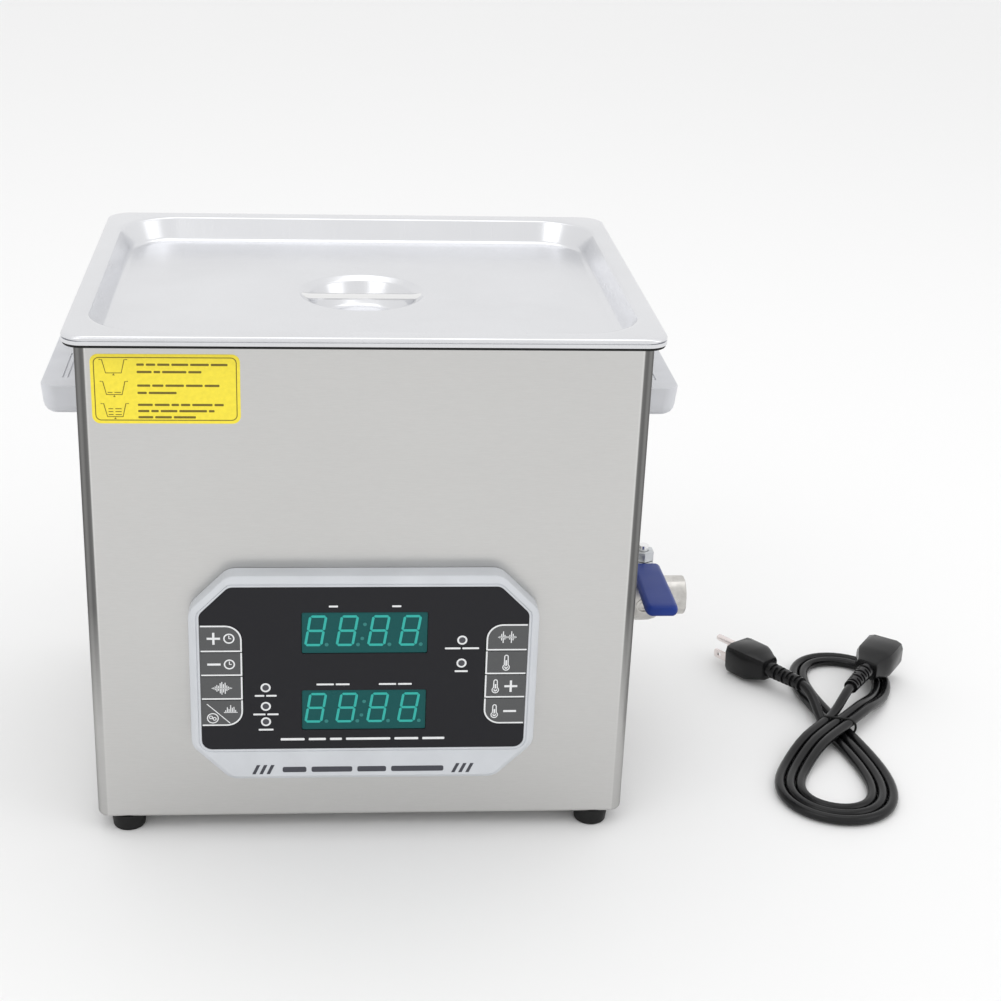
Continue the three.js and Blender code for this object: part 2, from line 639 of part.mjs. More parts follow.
function drain() {
  const side = CABINET.width / 2;
  const valve = facing(group(valveBody(), valveBall(), wallNut(), wallWasher()), RIGHT);
  return group(
    drainPipe(),
    placed(valve, side, DRAIN.y, DRAIN.z),
    placed(leverGroup(), side + STEM.offset, DRAIN.y, DRAIN.z),
  );
}

// ---------------------------------------------------------------- under the tank

function transducers() {
  const top = TANK_UNDERSIDE - GAP;
  const { height } = TRANSDUCER;
  const weight = [[0, -height], [19, -height], [19, -34]];
  const stack = [[17.5, -33], [17.5, -21]];
  const horn = [[18.5, -20], [24, 0], [0, 0]];
  const profile = [...weight, ...stack, ...horn];
  const places = [
    ['transducer_front_left', -1, -1],
    ['transducer_front_right', 1, -1],
    ['transducer_back_left', -1, 1],
    ['transducer_back_right', 1, 1],
  ];
  return places.map(([name, sx, sy]) => (
    placed(part(name, turned(profile, 16), MATERIAL.aluminium), sx * TRANSDUCER.x, sy * TRANSDUCER.y, top)
  ));
}

function heaters() {
  const { length, height, thickness, z } = HEATER;
  const reach = TANK.width / 2 + TANK.sheet + GAP + thickness / 2;
  return [['heater_left', -reach], ['heater_right', reach]].map(([name, x]) => (
    part(name, box(thickness, length, z - height / 2, z + height / 2, x, 0), MATERIAL.heaterMat)
  ));
}

function temperatureSensor() {
  const top = TANK_UNDERSIDE - GAP;
  const { radius, length, y } = SENSOR;
  return part('temperature_sensor', cylinder(radius, top - length, top, 16, 0, y), MATERIAL.aluminium);
}

function electronics() {
  const { x, y, length, width, thickness, trayHeight, traySheet } = BOARD;
  const legs = 24;
  const floor = BASE_TOP + GAP;
  const tray = cut(
    box(length, width, floor, floor + trayHeight),
    box(length - legs, width + 2, floor - THROUGH, floor + trayHeight - traySheet),
  );
  const boardBottom = floor + trayHeight + GAP;
  const boardTop = boardBottom + thickness;
  const board = box(length - 4, width - 4, boardBottom, boardTop);
  const seat = boardTop + GAP;
  return placed(group(
    part('board_tray', tray, MATERIAL.zincPlated),
    part('generator_board', board, MATERIAL.circuitBoard),
    heatsink(seat),
    transformer(seat),
    capacitor(seat),
  ), x, y, 0);
}

function heatsink(seat) {
  const { length, width, x, y, base, height, fins, fin } = HEATSINK;
  const pitch = (length - 2 * fin) / (fins - 1);
  const rows = Array.from({ length: fins }, (_, i) => (
    box(fin, width, seat + base / 2, seat + height, x - length / 2 + fin + i * pitch, y)
  ));
  return part('heatsink', join(box(length, width, seat, seat + base, x, y), ...rows), MATERIAL.aluminium);
}

function transformer(seat) {
  const { length, width, height, x, y } = TRANSFORMER;
  return part('output_transformer', box(length, width, seat, seat + height, x, y), MATERIAL.ferrite);
}

function capacitor(seat) {
  const { radius, height, x, y } = CAPACITOR;
  return part('mains_capacitor', cylinder(radius, seat, seat + height, 20, x, y), MATERIAL.blackPlastic);
}

// ---------------------------------------------------------------- rear of the cabinet
// The rear frame: +Z out of the back, +Y up, so +X is the user's left.

function powerInlet() {
  const { width, height, depth, face } = INLET;
  const body = box(width, height, -CABINET.wall - depth, face / 2);
  const flangeOutline = roundedRect(INLET_FLANGE.width, INLET_FLANGE.height, INLET_FLANGE.radius, 3);
  const flange = prism(flangeOutline, GAP, face);
  const socketOutline = chamferedRect(SOCKET.width, SOCKET.height, SOCKET.chamfer, 0.5);
  const socket = prism(socketOutline, -SOCKET.depth, face + THROUGH);
  const pins = SOCKET_PIN.places.map(([x, y]) => (
    box(SOCKET_PIN.width, SOCKET_PIN.height, -SOCKET.depth - 0.5, SOCKET_PIN.tip, x, y)
  ));
  return part('power_inlet', join(cut(join(body, flange), socket), ...pins), MATERIAL.blackPlastic);
}

function rockerHousing() {
  const { width, height, depth, face } = ROCKER;
  const { rim, depth: wellDepth } = ROCKER_WELL;
  const body = box(width, height, -CABINET.wall - depth, face / 2);
  const flange = prism(roundedRect(width + 4, height + 4, 2, 2), GAP, face);
  const well = box(width - 2 * rim, height - 2 * rim, -wellDepth, face + THROUGH);
  return part('rocker_housing', cut(join(body, flange), well), MATERIAL.blackPlastic);
}

function powerRocker() {
  const { halfLength, end, middle, halfBack, back, pivot, width } = ROCKER_CAP;
  const face = [[halfLength, end], [0, middle], [-halfLength, end]];
  const underside = [[-halfBack, -back], [-2, -pivot], [2, -pivot], [halfBack, -back]];
  const outline = [...face, ...underside].map(([x, y]) => new THREE.Vector2(x, y));
  const geometry = new THREE.ExtrudeGeometry(new THREE.Shape(outline), { depth: width, bevelEnabled: false })
    .translate(0, 0, -width / 2)
    .rotateX(Math.PI / 2)
    .rotateY(THREE.MathUtils.degToRad(ROCKER.angle));
  return part('power_rocker', geometry, MATERIAL.redPlastic);
}

function fanFrame() {
  const { size, depth, bore } = FAN;
  const top = -CABINET.wall - GAP;
  const bottom = top - depth;
  const housing = cut(
    prism(roundedRect(size, size, 4, 2), bottom, top),
    cylinder(bore, bottom - THROUGH, top + THROUGH, 32),
  );
  const struts = [0, 1, 2].map((i) => (
    box(4, bore + 1, bottom, bottom + 3, 0, (bore + 1) / 2).rotateZ(i * 2 * Math.PI / 3)
  ));
  const motorMount = cylinder(14, bottom, bottom + 3, 16);
  return part('fan_frame', join(housing, motorMount, ...struts), MATERIAL.blackPlastic);
}

function fanImpeller() {
  const top = -CABINET.wall - GAP - 1.5;
  const bottom = top - BLADES.depth;
  const blades = Array.from({ length: BLADES.count }, (_, i) => (
    new THREE.BoxGeometry(FAN.bore - FAN.hub + 1, BLADES.chord, BLADES.thickness)
      .rotateX(THREE.MathUtils.degToRad(BLADES.pitch))
      .translate((FAN.bore + FAN.hub) / 2 - 1.5, 0, (top + bottom) / 2)
      .rotateZ(2 * Math.PI * i / BLADES.count)
  ));
  return part('fan_impeller', join(cylinder(FAN.hub, bottom, top, 24), ...blades), MATERIAL.blackPlastic);
}

function fanGuard() {
  const { radii, wire, face, barWidth, barFace } = GUARD;
  const rings = radii.map((radius) => {
    const [inner, outer] = [radius - wire, radius + wire];
    return turned([[inner, GAP], [outer, GAP], [outer, face], [inner, face], [inner, GAP]], 24);
  });
  const bars = [45, 135].map((degrees) => (
    box(FAN.size * 1.2, barWidth, GAP, barFace).rotateZ(THREE.MathUtils.degToRad(degrees))
  ));
  return part('fan_guard', join(...rings, ...bars), MATERIAL.zincPlated);
}

function rear() {
  const panel = group(
    placed(powerInlet(), INLET.x, INLET.z, 0),
    placed(rockerHousing(), ROCKER.x, ROCKER.z, 0),
    placed(powerRocker(), ROCKER.x, ROCKER.z, 0),
    placed(fanFrame(), FAN.x, FAN.z, 0),
    placed(fanImpeller(), FAN.x, FAN.z, 0),
    placed(fanGuard(), FAN.x, FAN.z, 0),
  );
  return placed(facing(panel, BACK), 0, CABINET.depth / 2, 0);
}

// ---------------------------------------------------------------- mains lead
// It lies on the surface beside the unit. The lead's frame: +Y along the hank, z = 0 on the surface.

// The folded lead is one layer deep in its loops and two layers deep where they cross at the tie.
function hank() {
  const { length, width, height, clearance } = HANK;
  const loops = prism(roundedRect(width, length, width / 2 - 0.01, 8), clearance, height);
  const crossing = prism(roundedRect(WAIST.width, WAIST.length, WAIST.radius), height / 2, WAIST.height);
  return part('cord_hank', join(loops, crossing), MATERIAL.blackPlastic);
}

// A moulded end along +Y: tapered strain relief from y = 0, then the body.
function mouldedEnd({ width, thickness, length }) {
  const ring = (w, t) => roundedRect(w, t, Math.min(w, t) / 2.2, 3);
  return loft([
    { outline: ring(RELIEF.start, RELIEF.start), z: 0 },
    { outline: ring(RELIEF.end, RELIEF.end), z: RELIEF.length * 0.9 },
    { outline: ring(width * 0.75, thickness * 0.8), z: RELIEF.length },
    { outline: ring(width, thickness), z: RELIEF.length + length * 0.45 },
    { outline: ring(width, thickness), z: RELIEF.length + length },
  ]).rotateX(-Math.PI / 2);
}

// Lays a moulded end on the hank, nose up the hank, with its strain relief at the crossing.
function layEnd(end, { x, y, z, turn, tilt }) {
  end.rotation.x = THREE.MathUtils.degToRad(tilt);
  const holder = group(end);
  holder.rotation.z = THREE.MathUtils.degToRad(turn);
  return placed(holder, x, y, z);
}

function connector() {
  return layEnd(part('cord_connector', mouldedEnd(CONNECTOR), MATERIAL.blackPlastic), CONNECTOR);
}

function plug() {
  const face = RELIEF.length + PLUG.length + GAP;
  const earth = cylinder(EARTH_PIN.radius, 0, EARTH_PIN.length, 12).rotateX(-Math.PI / 2);
  const blade = () => new THREE.BoxGeometry(BLADE.width, BLADE.length, BLADE.height)
    .translate(0, BLADE.length / 2, 0);
  const side = BLADE.spacing / 2;
  const assembly = group(
    part('cord_plug', mouldedEnd(PLUG), MATERIAL.blackPlastic),
    placed(part('plug_earth_pin', earth, MATERIAL.nickelPins), 0, face, EARTH_PIN.rise),
    placed(part('plug_blade_left', blade(), MATERIAL.nickelPins), -side, face, BLADE.rise),
    placed(part('plug_blade_right', blade(), MATERIAL.nickelPins), side, face, BLADE.rise),
  );
  return layEnd(assembly, PLUG);
}

function mainsLead() {
  const lead = group(hank(), connector(), plug());
  lead.rotation.z = -THREE.MathUtils.degToRad(HANK.turn);
  return placed(lead, HANK.x, HANK.y, 0);
}

// ---------------------------------------------------------------- the whole unit

const cleaner = group(
  cabinetShell(),
  basePlate(),
  ...feet(),
  tank(),
  rimSeal(),
  lid(),
  lidStrap(),
  grip('grip_left', LEFT),
  grip('grip_right', RIGHT),
  controlPanel(),
  drain(),
  ...transducers(),
  ...heaters(),
  temperatureSensor(),
  electronics(),
  rear(),
  mainsLead(),
);

// The origin is under the middle of the unit's own box, without the lead.
const rightReach = CABINET.width / 2 + VALVE.outlet;
const leftReach = CABINET.width / 2 + GAP + GRIP.reach;
const frontReach = CABINET.depth / 2 + BEZEL.depth;
const backReach = LID.depth / 2;
placed(cleaner, (leftReach - rightReach) / 2, (frontReach - backReach) / 2, 0);

export default cleaner;
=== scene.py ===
"""Looks of a bench-top ultrasonic cleaner with its folded mains lead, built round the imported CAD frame.

Lengths are in millimetres in the unit's own axes: the origin is on the bench under the middle of the
lid, +X is the user's right, +Y the back and +Z up. `build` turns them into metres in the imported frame.
"""
import math

import bmesh
import bpy
from mathutils import Matrix, Vector


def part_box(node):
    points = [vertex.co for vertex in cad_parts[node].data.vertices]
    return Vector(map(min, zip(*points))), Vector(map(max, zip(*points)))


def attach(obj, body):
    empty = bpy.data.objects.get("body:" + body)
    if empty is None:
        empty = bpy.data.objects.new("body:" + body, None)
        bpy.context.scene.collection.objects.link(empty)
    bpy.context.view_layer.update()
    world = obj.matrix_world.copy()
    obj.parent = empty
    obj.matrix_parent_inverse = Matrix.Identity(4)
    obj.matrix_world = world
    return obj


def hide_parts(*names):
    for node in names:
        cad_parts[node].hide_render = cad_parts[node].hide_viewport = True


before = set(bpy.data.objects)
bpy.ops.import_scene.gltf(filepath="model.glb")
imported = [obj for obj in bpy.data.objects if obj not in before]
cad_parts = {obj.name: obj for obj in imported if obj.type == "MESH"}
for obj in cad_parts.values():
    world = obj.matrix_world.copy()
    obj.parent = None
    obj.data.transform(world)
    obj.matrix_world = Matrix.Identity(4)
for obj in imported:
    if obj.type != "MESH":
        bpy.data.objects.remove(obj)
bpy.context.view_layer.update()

MM = 0.001


def middle(node):
    low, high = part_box(node)
    return (Vector(low) + Vector(high)) / 2


def size(node):
    """The low and the high corner of a node's box, in millimetres in the unit's own axes."""
    low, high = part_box(node)
    return (Vector(low) - ORIGIN) / MM, (Vector(high) - ORIGIN) / MM


ORIGIN = Vector((middle("lid").x, middle("lid").y, 0))

# ---- driving dimensions

CABINET_LOW, CABINET_HIGH = size("cabinet_shell")
LID_HIGH = size("lid")[1]
BEZEL_LOW, BEZEL_HIGH = size("panel_bezel")
FRONT = CABINET_LOW.y
BACK = CABINET_HIGH.y
SIDE = CABINET_HIGH.x
TOP = LID_HIGH.z

CORNER = 8
SHEET = 1.4
RECESS = {"width": 308.4, "depth": 245.6, "radius": 36, "drop": 14.2, "run": 7}
DISH = {"shoulder": 38.5, "drop": 2.5, "radius": 31, "depth": 16}
RECESS_FLOOR = TOP - RECESS["drop"]
PANEL_HEIGHT = 109.3
INLET = (-105, 62)
ROCKER = (-105, 98)
FAN = (55, 82)
OVERLAY = {"width": 188.4, "height": 105, "chamfer": 17, "corner": 6, "rise": 7.8, "face": 13.6}
KEY_ROWS = [146.2, 128.5, 113, 97.5, 79.9]
KEY_INNER = 69.6
DRAIN_Y, DRAIN_Z = -10, 100
STEM_X = SIDE + 24.5

LEAD = {"x": 322, "y": -22, "turn": 15, "diameter": 6.4}
LEAD_LOOP = {"half_width": 29, "half_length": 104.8, "pitch": 6.6, "low": 3.5, "high": 10.1, "crossing": 22,
             "climb": 40}
PLUG_END = {"x": -25, "y": 38.5, "z": 15, "turn": 47, "tilt": -3.5}
CONNECTOR_END = {"x": 8.3, "y": 38, "z": 17.5, "turn": -21, "tilt": 0}
RELIEF_LENGTH = 30
PLUG_BODY = (26, 22, 32)
CONNECTOR_BODY = (27, 20, 38)

# ---- camera

VIEW = {"back": -1064.957, "left": -28.047, "up": 616.69}
CAMERA_TURN = {"yaw": 4.27, "pitch": 23.03, "roll": 1.66}


def make_camera():
    yaw, pitch, roll = (math.radians(CAMERA_TURN[k]) for k in ("yaw", "pitch", "roll"))
    forward = Vector((math.sin(yaw) * math.cos(pitch), math.cos(yaw) * math.cos(pitch), -math.sin(pitch)))
    right = Vector((math.cos(yaw), -math.sin(yaw), 0))
    up = right.cross(forward)
    across = math.cos(roll) * right + math.sin(roll) * up
    upright = -math.sin(roll) * right + math.cos(roll) * up
    data = bpy.data.cameras.new("camera")
    data.lens = 65.135
    data.sensor_width = 36
    data.shift_x = 0.0604
    camera = bpy.data.objects.new("camera", data)
    place = Matrix((across, upright, -forward)).transposed().to_4x4()
    place.translation = ORIGIN + Vector((VIEW["left"], VIEW["back"], VIEW["up"])) * MM
    camera.matrix_world = place
    bpy.context.scene.collection.objects.link(camera)
    bpy.context.scene.camera = camera


# ---- node materials

EVEN = (1, 1, 1)


class Finish:
    """A procedural material: a principled shader and short calls that add detail to it."""

    def __init__(self, name, colour, roughness, metallic=0.0, **sockets):
        self.material = bpy.data.materials.new(name)
        self.material.use_nodes = True
        self.nodes = self.material.node_tree.nodes
        self.link = self.material.node_tree.links.new
        self.shader = self.nodes["Principled BSDF"]
        self.normal = None
        self.fill(self.shader, Base_Color=(*colour, 1), Roughness=roughness, Metallic=metallic, **sockets)

    @staticmethod
    def fill(node, **values):
        for socket, value in values.items():
            node.inputs[socket.replace("_", " ")].default_value = value
        return node

    def add(self, kind, **settings):
        node = self.nodes.new("ShaderNode" + kind)
        for setting, value in settings.items():
            setattr(node, setting, value)
        return node

    def grain(self, scale, stretch=EVEN, detail=3.0, rough=0.55, distortion=0.0):
        """Noise in the object's own metres, stretched along each axis."""
        mapping = self.fill(self.add("Mapping"), Scale=stretch)
        noise = self.fill(self.add("TexNoise"), Scale=scale, Detail=detail, Roughness=rough,
                          Distortion=distortion)
        self.link(self.add("TexCoord").outputs["Object"], mapping.inputs["Vector"])
        self.link(mapping.outputs["Vector"], noise.inputs["Vector"])
        return noise.outputs["Fac"]

    def spread(self, value, low, high, start=0.3, end=0.7):
        node = self.fill(self.add("MapRange"), From_Min=start, From_Max=end, To_Min=low, To_Max=high)
        self.link(value, node.inputs["Value"])
        return node.outputs["Result"]

    def vary_colour(self, value, dark, light, start=0.3, end=0.7):
        mix = self.add("Mix", data_type="RGBA")
        mix.inputs[6].default_value = (*dark, 1)
        mix.inputs[7].default_value = (*light, 1)
        self.link(self.spread(value, 0, 1, start, end), mix.inputs[0])
        self.link(mix.outputs[2], self.shader.inputs["Base Color"])

    def vary_roughness(self, value, low, high):
        self.link(self.spread(value, low, high), self.shader.inputs["Roughness"])

    def bump(self, value, depth, strength):
        """Bump with its depth in millimetres; a later call lies on top of the earlier ones."""
        node = self.fill(self.add("Bump"), Strength=strength, Distance=depth * MM)
        self.link(value, node.inputs["Height"])
        if self.normal:
            self.link(self.normal, node.inputs["Normal"])
        self.normal = node.outputs["Normal"]
        self.link(self.normal, self.shader.inputs["Normal"])

    def paint_fold_reflections(self, stops, low, high):
        """Paints reflections into the colour at upright folds, 0 being a flat wall and 1 the middle of the
        bend
        between two walls: dark and light bands stand in for the studio's reflections on the bends.

        A tint of 0.5 leaves the colour as it is. The painted reflection is faint below the height `low` and
        full above `high`, in metres.
        """
        geometry = self.add("NewGeometry")
        facing, place = self.add("SeparateXYZ"), self.add("SeparateXYZ")
        across = self.add("Math", operation="MULTIPLY")
        bend = self.add("Math", operation="ABSOLUTE")
        ramp = self.add("ValToRGB")
        reflection_tints = ramp.color_ramp.elements
        reflection_tints.remove(reflection_tints[1])
        for position, value in stops:
            reflection_tints.new(position / 2).color = (value, value, value, 1)
        reflection_tints[0].color = (0.5, 0.5, 0.5, 1)
        doubled = self.fill(self.add("VectorMath", operation="SCALE"), Scale=2)
        blend = self.add("Mix", data_type="RGBA", blend_type="MULTIPLY")
        colour = self.shader.inputs["Base Color"]
        for source, target in ((geometry.outputs["Normal"], facing.inputs[0]),
                               (facing.outputs["X"], across.inputs[0]),
                               (facing.outputs["Y"], across.inputs[1]),
                               (across.outputs[0], bend.inputs[0]),
                               (bend.outputs[0], ramp.inputs[0]),
                               (ramp.outputs["Color"], doubled.inputs[0]),
                               (colour.links[0].from_socket, blend.inputs[6]),
                               (doubled.outputs[0], blend.inputs[7]),
                               (geometry.outputs["Position"], place.inputs[0]),
                               (self.spread(place.outputs["Z"], 0.2, 1, low, high), blend.inputs[0])):
            self.link(source, target)
        self.link(blend.outputs[2], colour)

    def brush_round_z(self, amount):
        tangent = self.add("Tangent", direction_type="RADIAL", axis="Z")
        self.fill(self.shader, Anisotropic=amount)
        self.link(tangent.outputs["Tangent"], self.shader.inputs["Tangent"])


def shade(colour, factor):
    return tuple(min(c * factor, 1) for c in colour)


def finished(name, colour, roughness, metallic=0.0, tone=None, gloss=None, relief=None, **sockets):
    """A material with noise in its colour, its roughness and its relief.

    Each of the three is the grain's arguments and two numbers: the darkest and the lightest shade, the lowest
    and the highest roughness, or the relief's depth in millimetres and its strength.
    """
    finish = Finish(name, colour, roughness, metallic, **sockets)
    if tone:
        grain, dark, light = tone
        finish.vary_colour(finish.grain(*grain), shade(colour, dark), shade(colour, light))
    if gloss:
        grain, low, high = gloss
        finish.vary_roughness(finish.grain(*grain), low, high)
    if relief:
        grain, depth, strength = relief
        finish.bump(finish.grain(*grain), depth, strength)
    return finish.material


def brushed_sheet():
    """Cabinet steel: fine horizontal brushing, cloudy rolling marks, a slight warm tint and painted
    reflections on the upright corners.
    """
    base = (0.60, 0.596, 0.585)
    steel = Finish("brushed_sheet_steel", base, 0.34, 1.0, Specular_Tint=(0.55, 0.55, 0.55, 1))
    lines = steel.grain(60, (2.5, 2.5, 40), 6, 0.75)
    steel.vary_colour(lines, shade(base, 0.965), shade(base, 1.03))
    steel.vary_roughness(steel.grain(9, EVEN, 2), 0.30, 0.38)
    steel.bump(lines, 0.01, 0.4)
    steel.bump(steel.grain(1400, EVEN, 2), 0.006, 0.3)
    # painted reflections: dark and light bands on the upright corners stand in for the studio's reflections
    # there, faint near the bench
    steel.paint_fold_reflections(((0.10, 0.5), (0.24, 0.54), (0.36, 0.52), (0.46, 0.18), (0.62, 0.12), (0.85, 0.11),
                      (1.0, 0.18)), 0.07, 0.15)
    steel.brush_round_z(0.55)
    return steel.material


def satin_pressing():
    """Lid and tank steel: bright satin, with faint drawing marks."""
    base = (0.72, 0.725, 0.745)
    steel = Finish("satin_pressed_steel", base, 0.24, 1.0)
    lines = steel.grain(90, (30, 0.7, 0.7), 4, 0.65)
    steel.vary_colour(steel.grain(14), shade(base, 0.97), shade(base, 1.02))
    steel.vary_roughness(lines, 0.21, 0.28)
    steel.bump(lines, 0.006, 0.35)
    return steel.material


def moulded(name, colour, roughness, grain_depth=0.03, **sockets):
    """Moulded plastic: spark-eroded grain, and a little unevenness in gloss and colour."""
    return finished(name, colour, roughness, tone=((35,), 0.96, 1.04),
                    gloss=((60, EVEN, 4), roughness * 0.88, roughness * 1.12),
                    relief=((1500, EVEN, 2), grain_depth, 0.5), **sockets)


def rubber(name, colour, roughness, grain_depth=0.04, **sockets):
    return finished(name, colour, roughness, tone=((80, EVEN, 4), 0.8, 1.3),
                    gloss=((160, EVEN, 4), roughness * 0.85, min(roughness * 1.12, 1)),
                    relief=((900,), grain_depth, 0.5), **sockets)


def printed(name, colour, roughness=0.5):
    return finished(name, colour, roughness, tone=((400, EVEN, 2), 0.95, 1.03))


def film(name, colour, roughness):
    """Printed polycarbonate film: an even colour under a fine matt texture."""
    return finished(name, colour, roughness, gloss=((40,), roughness * 0.9, roughness * 1.1),
                    relief=((2600, EVEN, 1), 0.008, 0.4), Specular_IOR_Level=0.2)


def lit(name, colour, strength):
    return finished(name, colour, 0.35, gloss=((200,), 0.3, 0.45), Emission_Color=(*colour, 1),
                    Emission_Strength=strength)


def circuit_board():
    mask = Finish("solder_mask", (0.02, 0.16, 0.06), 0.35)
    tracks = mask.grain(260, (1, 4, 1), 1)
    mask.vary_colour(tracks, (0.012, 0.11, 0.04), (0.05, 0.26, 0.10), 0.48, 0.52)
    mask.bump(tracks, 0.05, 0.4)
    return mask.material


MATERIALS = {
    "sheet": brushed_sheet(),
    "pressing": satin_pressing(),
    "bright": finished("bright_steel", (0.82, 0.82, 0.82), 0.16, 1.0, gloss=((220, (1, 9, 1)), 0.10, 0.24),
                       relief=((500,), 0.01, 0.3)),
    "casting": finished("cast_valve_steel", (0.60, 0.585, 0.56), 0.36, 1.0, ((110, EVEN, 6), 0.78, 1.12),
                        ((300, EVEN, 4), 0.26, 0.46), ((900, EVEN, 4), 0.05, 0.6)),
    "zinc": finished("zinc_plate", (0.58, 0.60, 0.62), 0.38, 1.0, ((70, EVEN, 5, 0.55, 1.2), 0.85, 1.1),
                     ((160,), 0.3, 0.5)),
    "aluminium": finished("machined_aluminium", (0.70, 0.71, 0.73), 0.32, 1.0,
                          gloss=((240, (1, 1, 8)), 0.25, 0.42), relief=((400, (1, 1, 12)), 0.02, 0.4)),
    "light_plastic": moulded("light_grey_plastic", (0.60, 0.62, 0.65), 0.42),
    "grip_plastic": moulded("grip_grey_plastic", (0.62, 0.63, 0.66), 0.5),
    "black_plastic": moulded("black_plastic", (0.018, 0.018, 0.019), 0.42),
    "jacket": rubber("lead_jacket", (0.005, 0.005, 0.0055), 0.24, 0.006, Specular_IOR_Level=0.3),
    "rubber": rubber("black_rubber", (0.007, 0.007, 0.007), 0.55, Specular_IOR_Level=0.25),
    "ferrite": moulded("ferrite", (0.05, 0.05, 0.055), 0.6, 0.06),
    "overlay": film("overlay_film", (0.014, 0.014, 0.017), 0.42),
    "key": film("key_film", (0.098, 0.10, 0.102), 0.5),
    "white_ink": printed("white_ink", (0.80, 0.81, 0.82)),
    "dark_ink": printed("dark_ink", (0.045, 0.047, 0.06)),
    "label": printed("label_yellow", (0.93, 0.77, 0.045), 0.42),
    "label_ink": printed("label_ink", (0.16, 0.12, 0.005)),
    "window": film("display_window", (0.005, 0.082, 0.082), 0.3),
    "digit": lit("display_digits", (0.012, 0.31, 0.27), 0.33),
    "dim_digit": lit("display_dots", (0.012, 0.165, 0.155), 0.15),
    "lens": film("lamp_lens", (0.075, 0.075, 0.085), 0.2),
    "vinyl": moulded("blue_vinyl", (0.010, 0.034, 0.22), 0.34, 0.015, Specular_IOR_Level=0.22),
    "red": moulded("red_plastic", (0.50, 0.015, 0.012), 0.3, 0.01),
    "mat": rubber("silicone_mat", (0.42, 0.09, 0.03), 0.6),
    "board": circuit_board(),
    "pin": finished("nickel_plate", (0.80, 0.735, 0.72), 0.22, 1.0, ((150,), 0.92, 1.04),
                    ((260, (1, 8, 1)), 0.16, 0.3), ((500, (1, 10, 1)), 0.01, 0.3)),
}

# ---- outlines


def rounded_rect(width, height, radius, steps=10):
    """Anticlockwise outline, starting at the right end of the top right corner."""
    outline = []
    for corner, (sx, sy) in enumerate(((1, 1), (-1, 1), (-1, -1), (1, -1))):
        for i in range(steps + 1):
            angle = (corner + i / steps) * math.pi / 2
            outline.append((sx * (width / 2 - radius) + radius * math.cos(angle),
                            sy * (height / 2 - radius) + radius * math.sin(angle)))
    return outline


def polar(radius, angle):
    return radius * math.cos(angle), radius * math.sin(angle)


def circle(radius, count=32, x=0.0, y=0.0):
    turn = 2 * math.pi / count
    return moved([polar(radius, i * turn) for i in range(count)], x, y)


def arc(before, corner, after, radius, steps):
    """Points of the arc that rounds one corner of a line."""
    here = Vector(corner)
    back = (Vector(before) - here).normalized()
    on = (Vector(after) - here).normalized()
    half = back.angle(on) / 2
    centre = here + (back + on).normalized() * (radius / math.sin(half))
    start = (here + back * (radius / math.tan(half)) - centre) / radius
    end = (here + on * (radius / math.tan(half)) - centre) / radius
    return [tuple(centre + start.slerp(end, i / steps) * radius) for i in range(steps + 1)]


def half_arc(corner, radius, first, steps):
    """Half of a lower corner's quarter-round, so that a round corner can stand where a cut one would."""
    x, y = corner
    side = 1 if x > 0 else -1
    start = (180 if side < 0 else 270) + (0 if first else 45)
    angles = [math.radians(start + 45 * i / steps) for i in range(steps + 1)]
    return moved([polar(radius, a) for a in angles], x - side * radius, y + radius)


def rounded_path(points, radii, steps=6):
    """An open line with its inner corners rounded."""
    path = [tuple(points[0])]
    for before, corner, after, radius in zip(points, points[1:], points[2:], radii):
        path += arc(before, corner, after, radius, steps) if radius else [tuple(corner)]
    return path + [tuple(points[-1])]


def filleted(corners, radii, steps=6):
    """A polygon with every corner rounded; `radii` is one radius or one for each corner."""
    count = len(corners)
    radii = radii if isinstance(radii, (list, tuple)) else [radii] * count
    return [point for i in range(count)
            for point in arc(corners[i - 1], corners[i], corners[(i + 1) % count], radii[i], steps)]


def offset_path(path, distance):
    """A line moved sideways, to the left of its direction."""
    line = [Vector(p) for p in path]
    result = []
    for i, here in enumerate(line):
        back = here - line[i - 1] if i else line[1] - here
        on = line[i + 1] - here if i < len(line) - 1 else back
        back, on = back.normalized(), on.normalized()
        normal = (Vector((-back.y, back.x)) + Vector((-on.y, on.x))).normalized()
        reach = distance / max(normal.dot(Vector((-back.y, back.x))), 0.5)
        result.append(tuple(here + normal * reach))
    return result


def blended(a, b, t):
    return tuple(p + (q - p) * t for p, q in zip(a, b))


def chamfered(width, height, top, bottom, inset=0.0):
    x, y = width / 2 - inset, height / 2 - inset
    top, bottom = (c - inset * (2 - math.sqrt(2)) for c in (top, bottom))
    return [(x, y - top), (x - top, y), (-x + top, y), (-x, y - top),
            (-x, -y + bottom), (-x + bottom, -y), (x - bottom, -y), (x, -y + bottom)]


def moved(outline, x, y):
    return [(px + x, py + y) for px, py in outline]


def at(outline, z):
    return [(x, y, z) for x, y in outline]


# ---- mesh building

def directions(line, closed):
    """Each point of a line, with the way the line runs there."""
    count = len(line)
    for i, here in enumerate(line):
        before = line[i - 1] if closed or i else here
        after = line[(i + 1) % count] if closed or i < count - 1 else here
        yield here, (after - before).normalized()


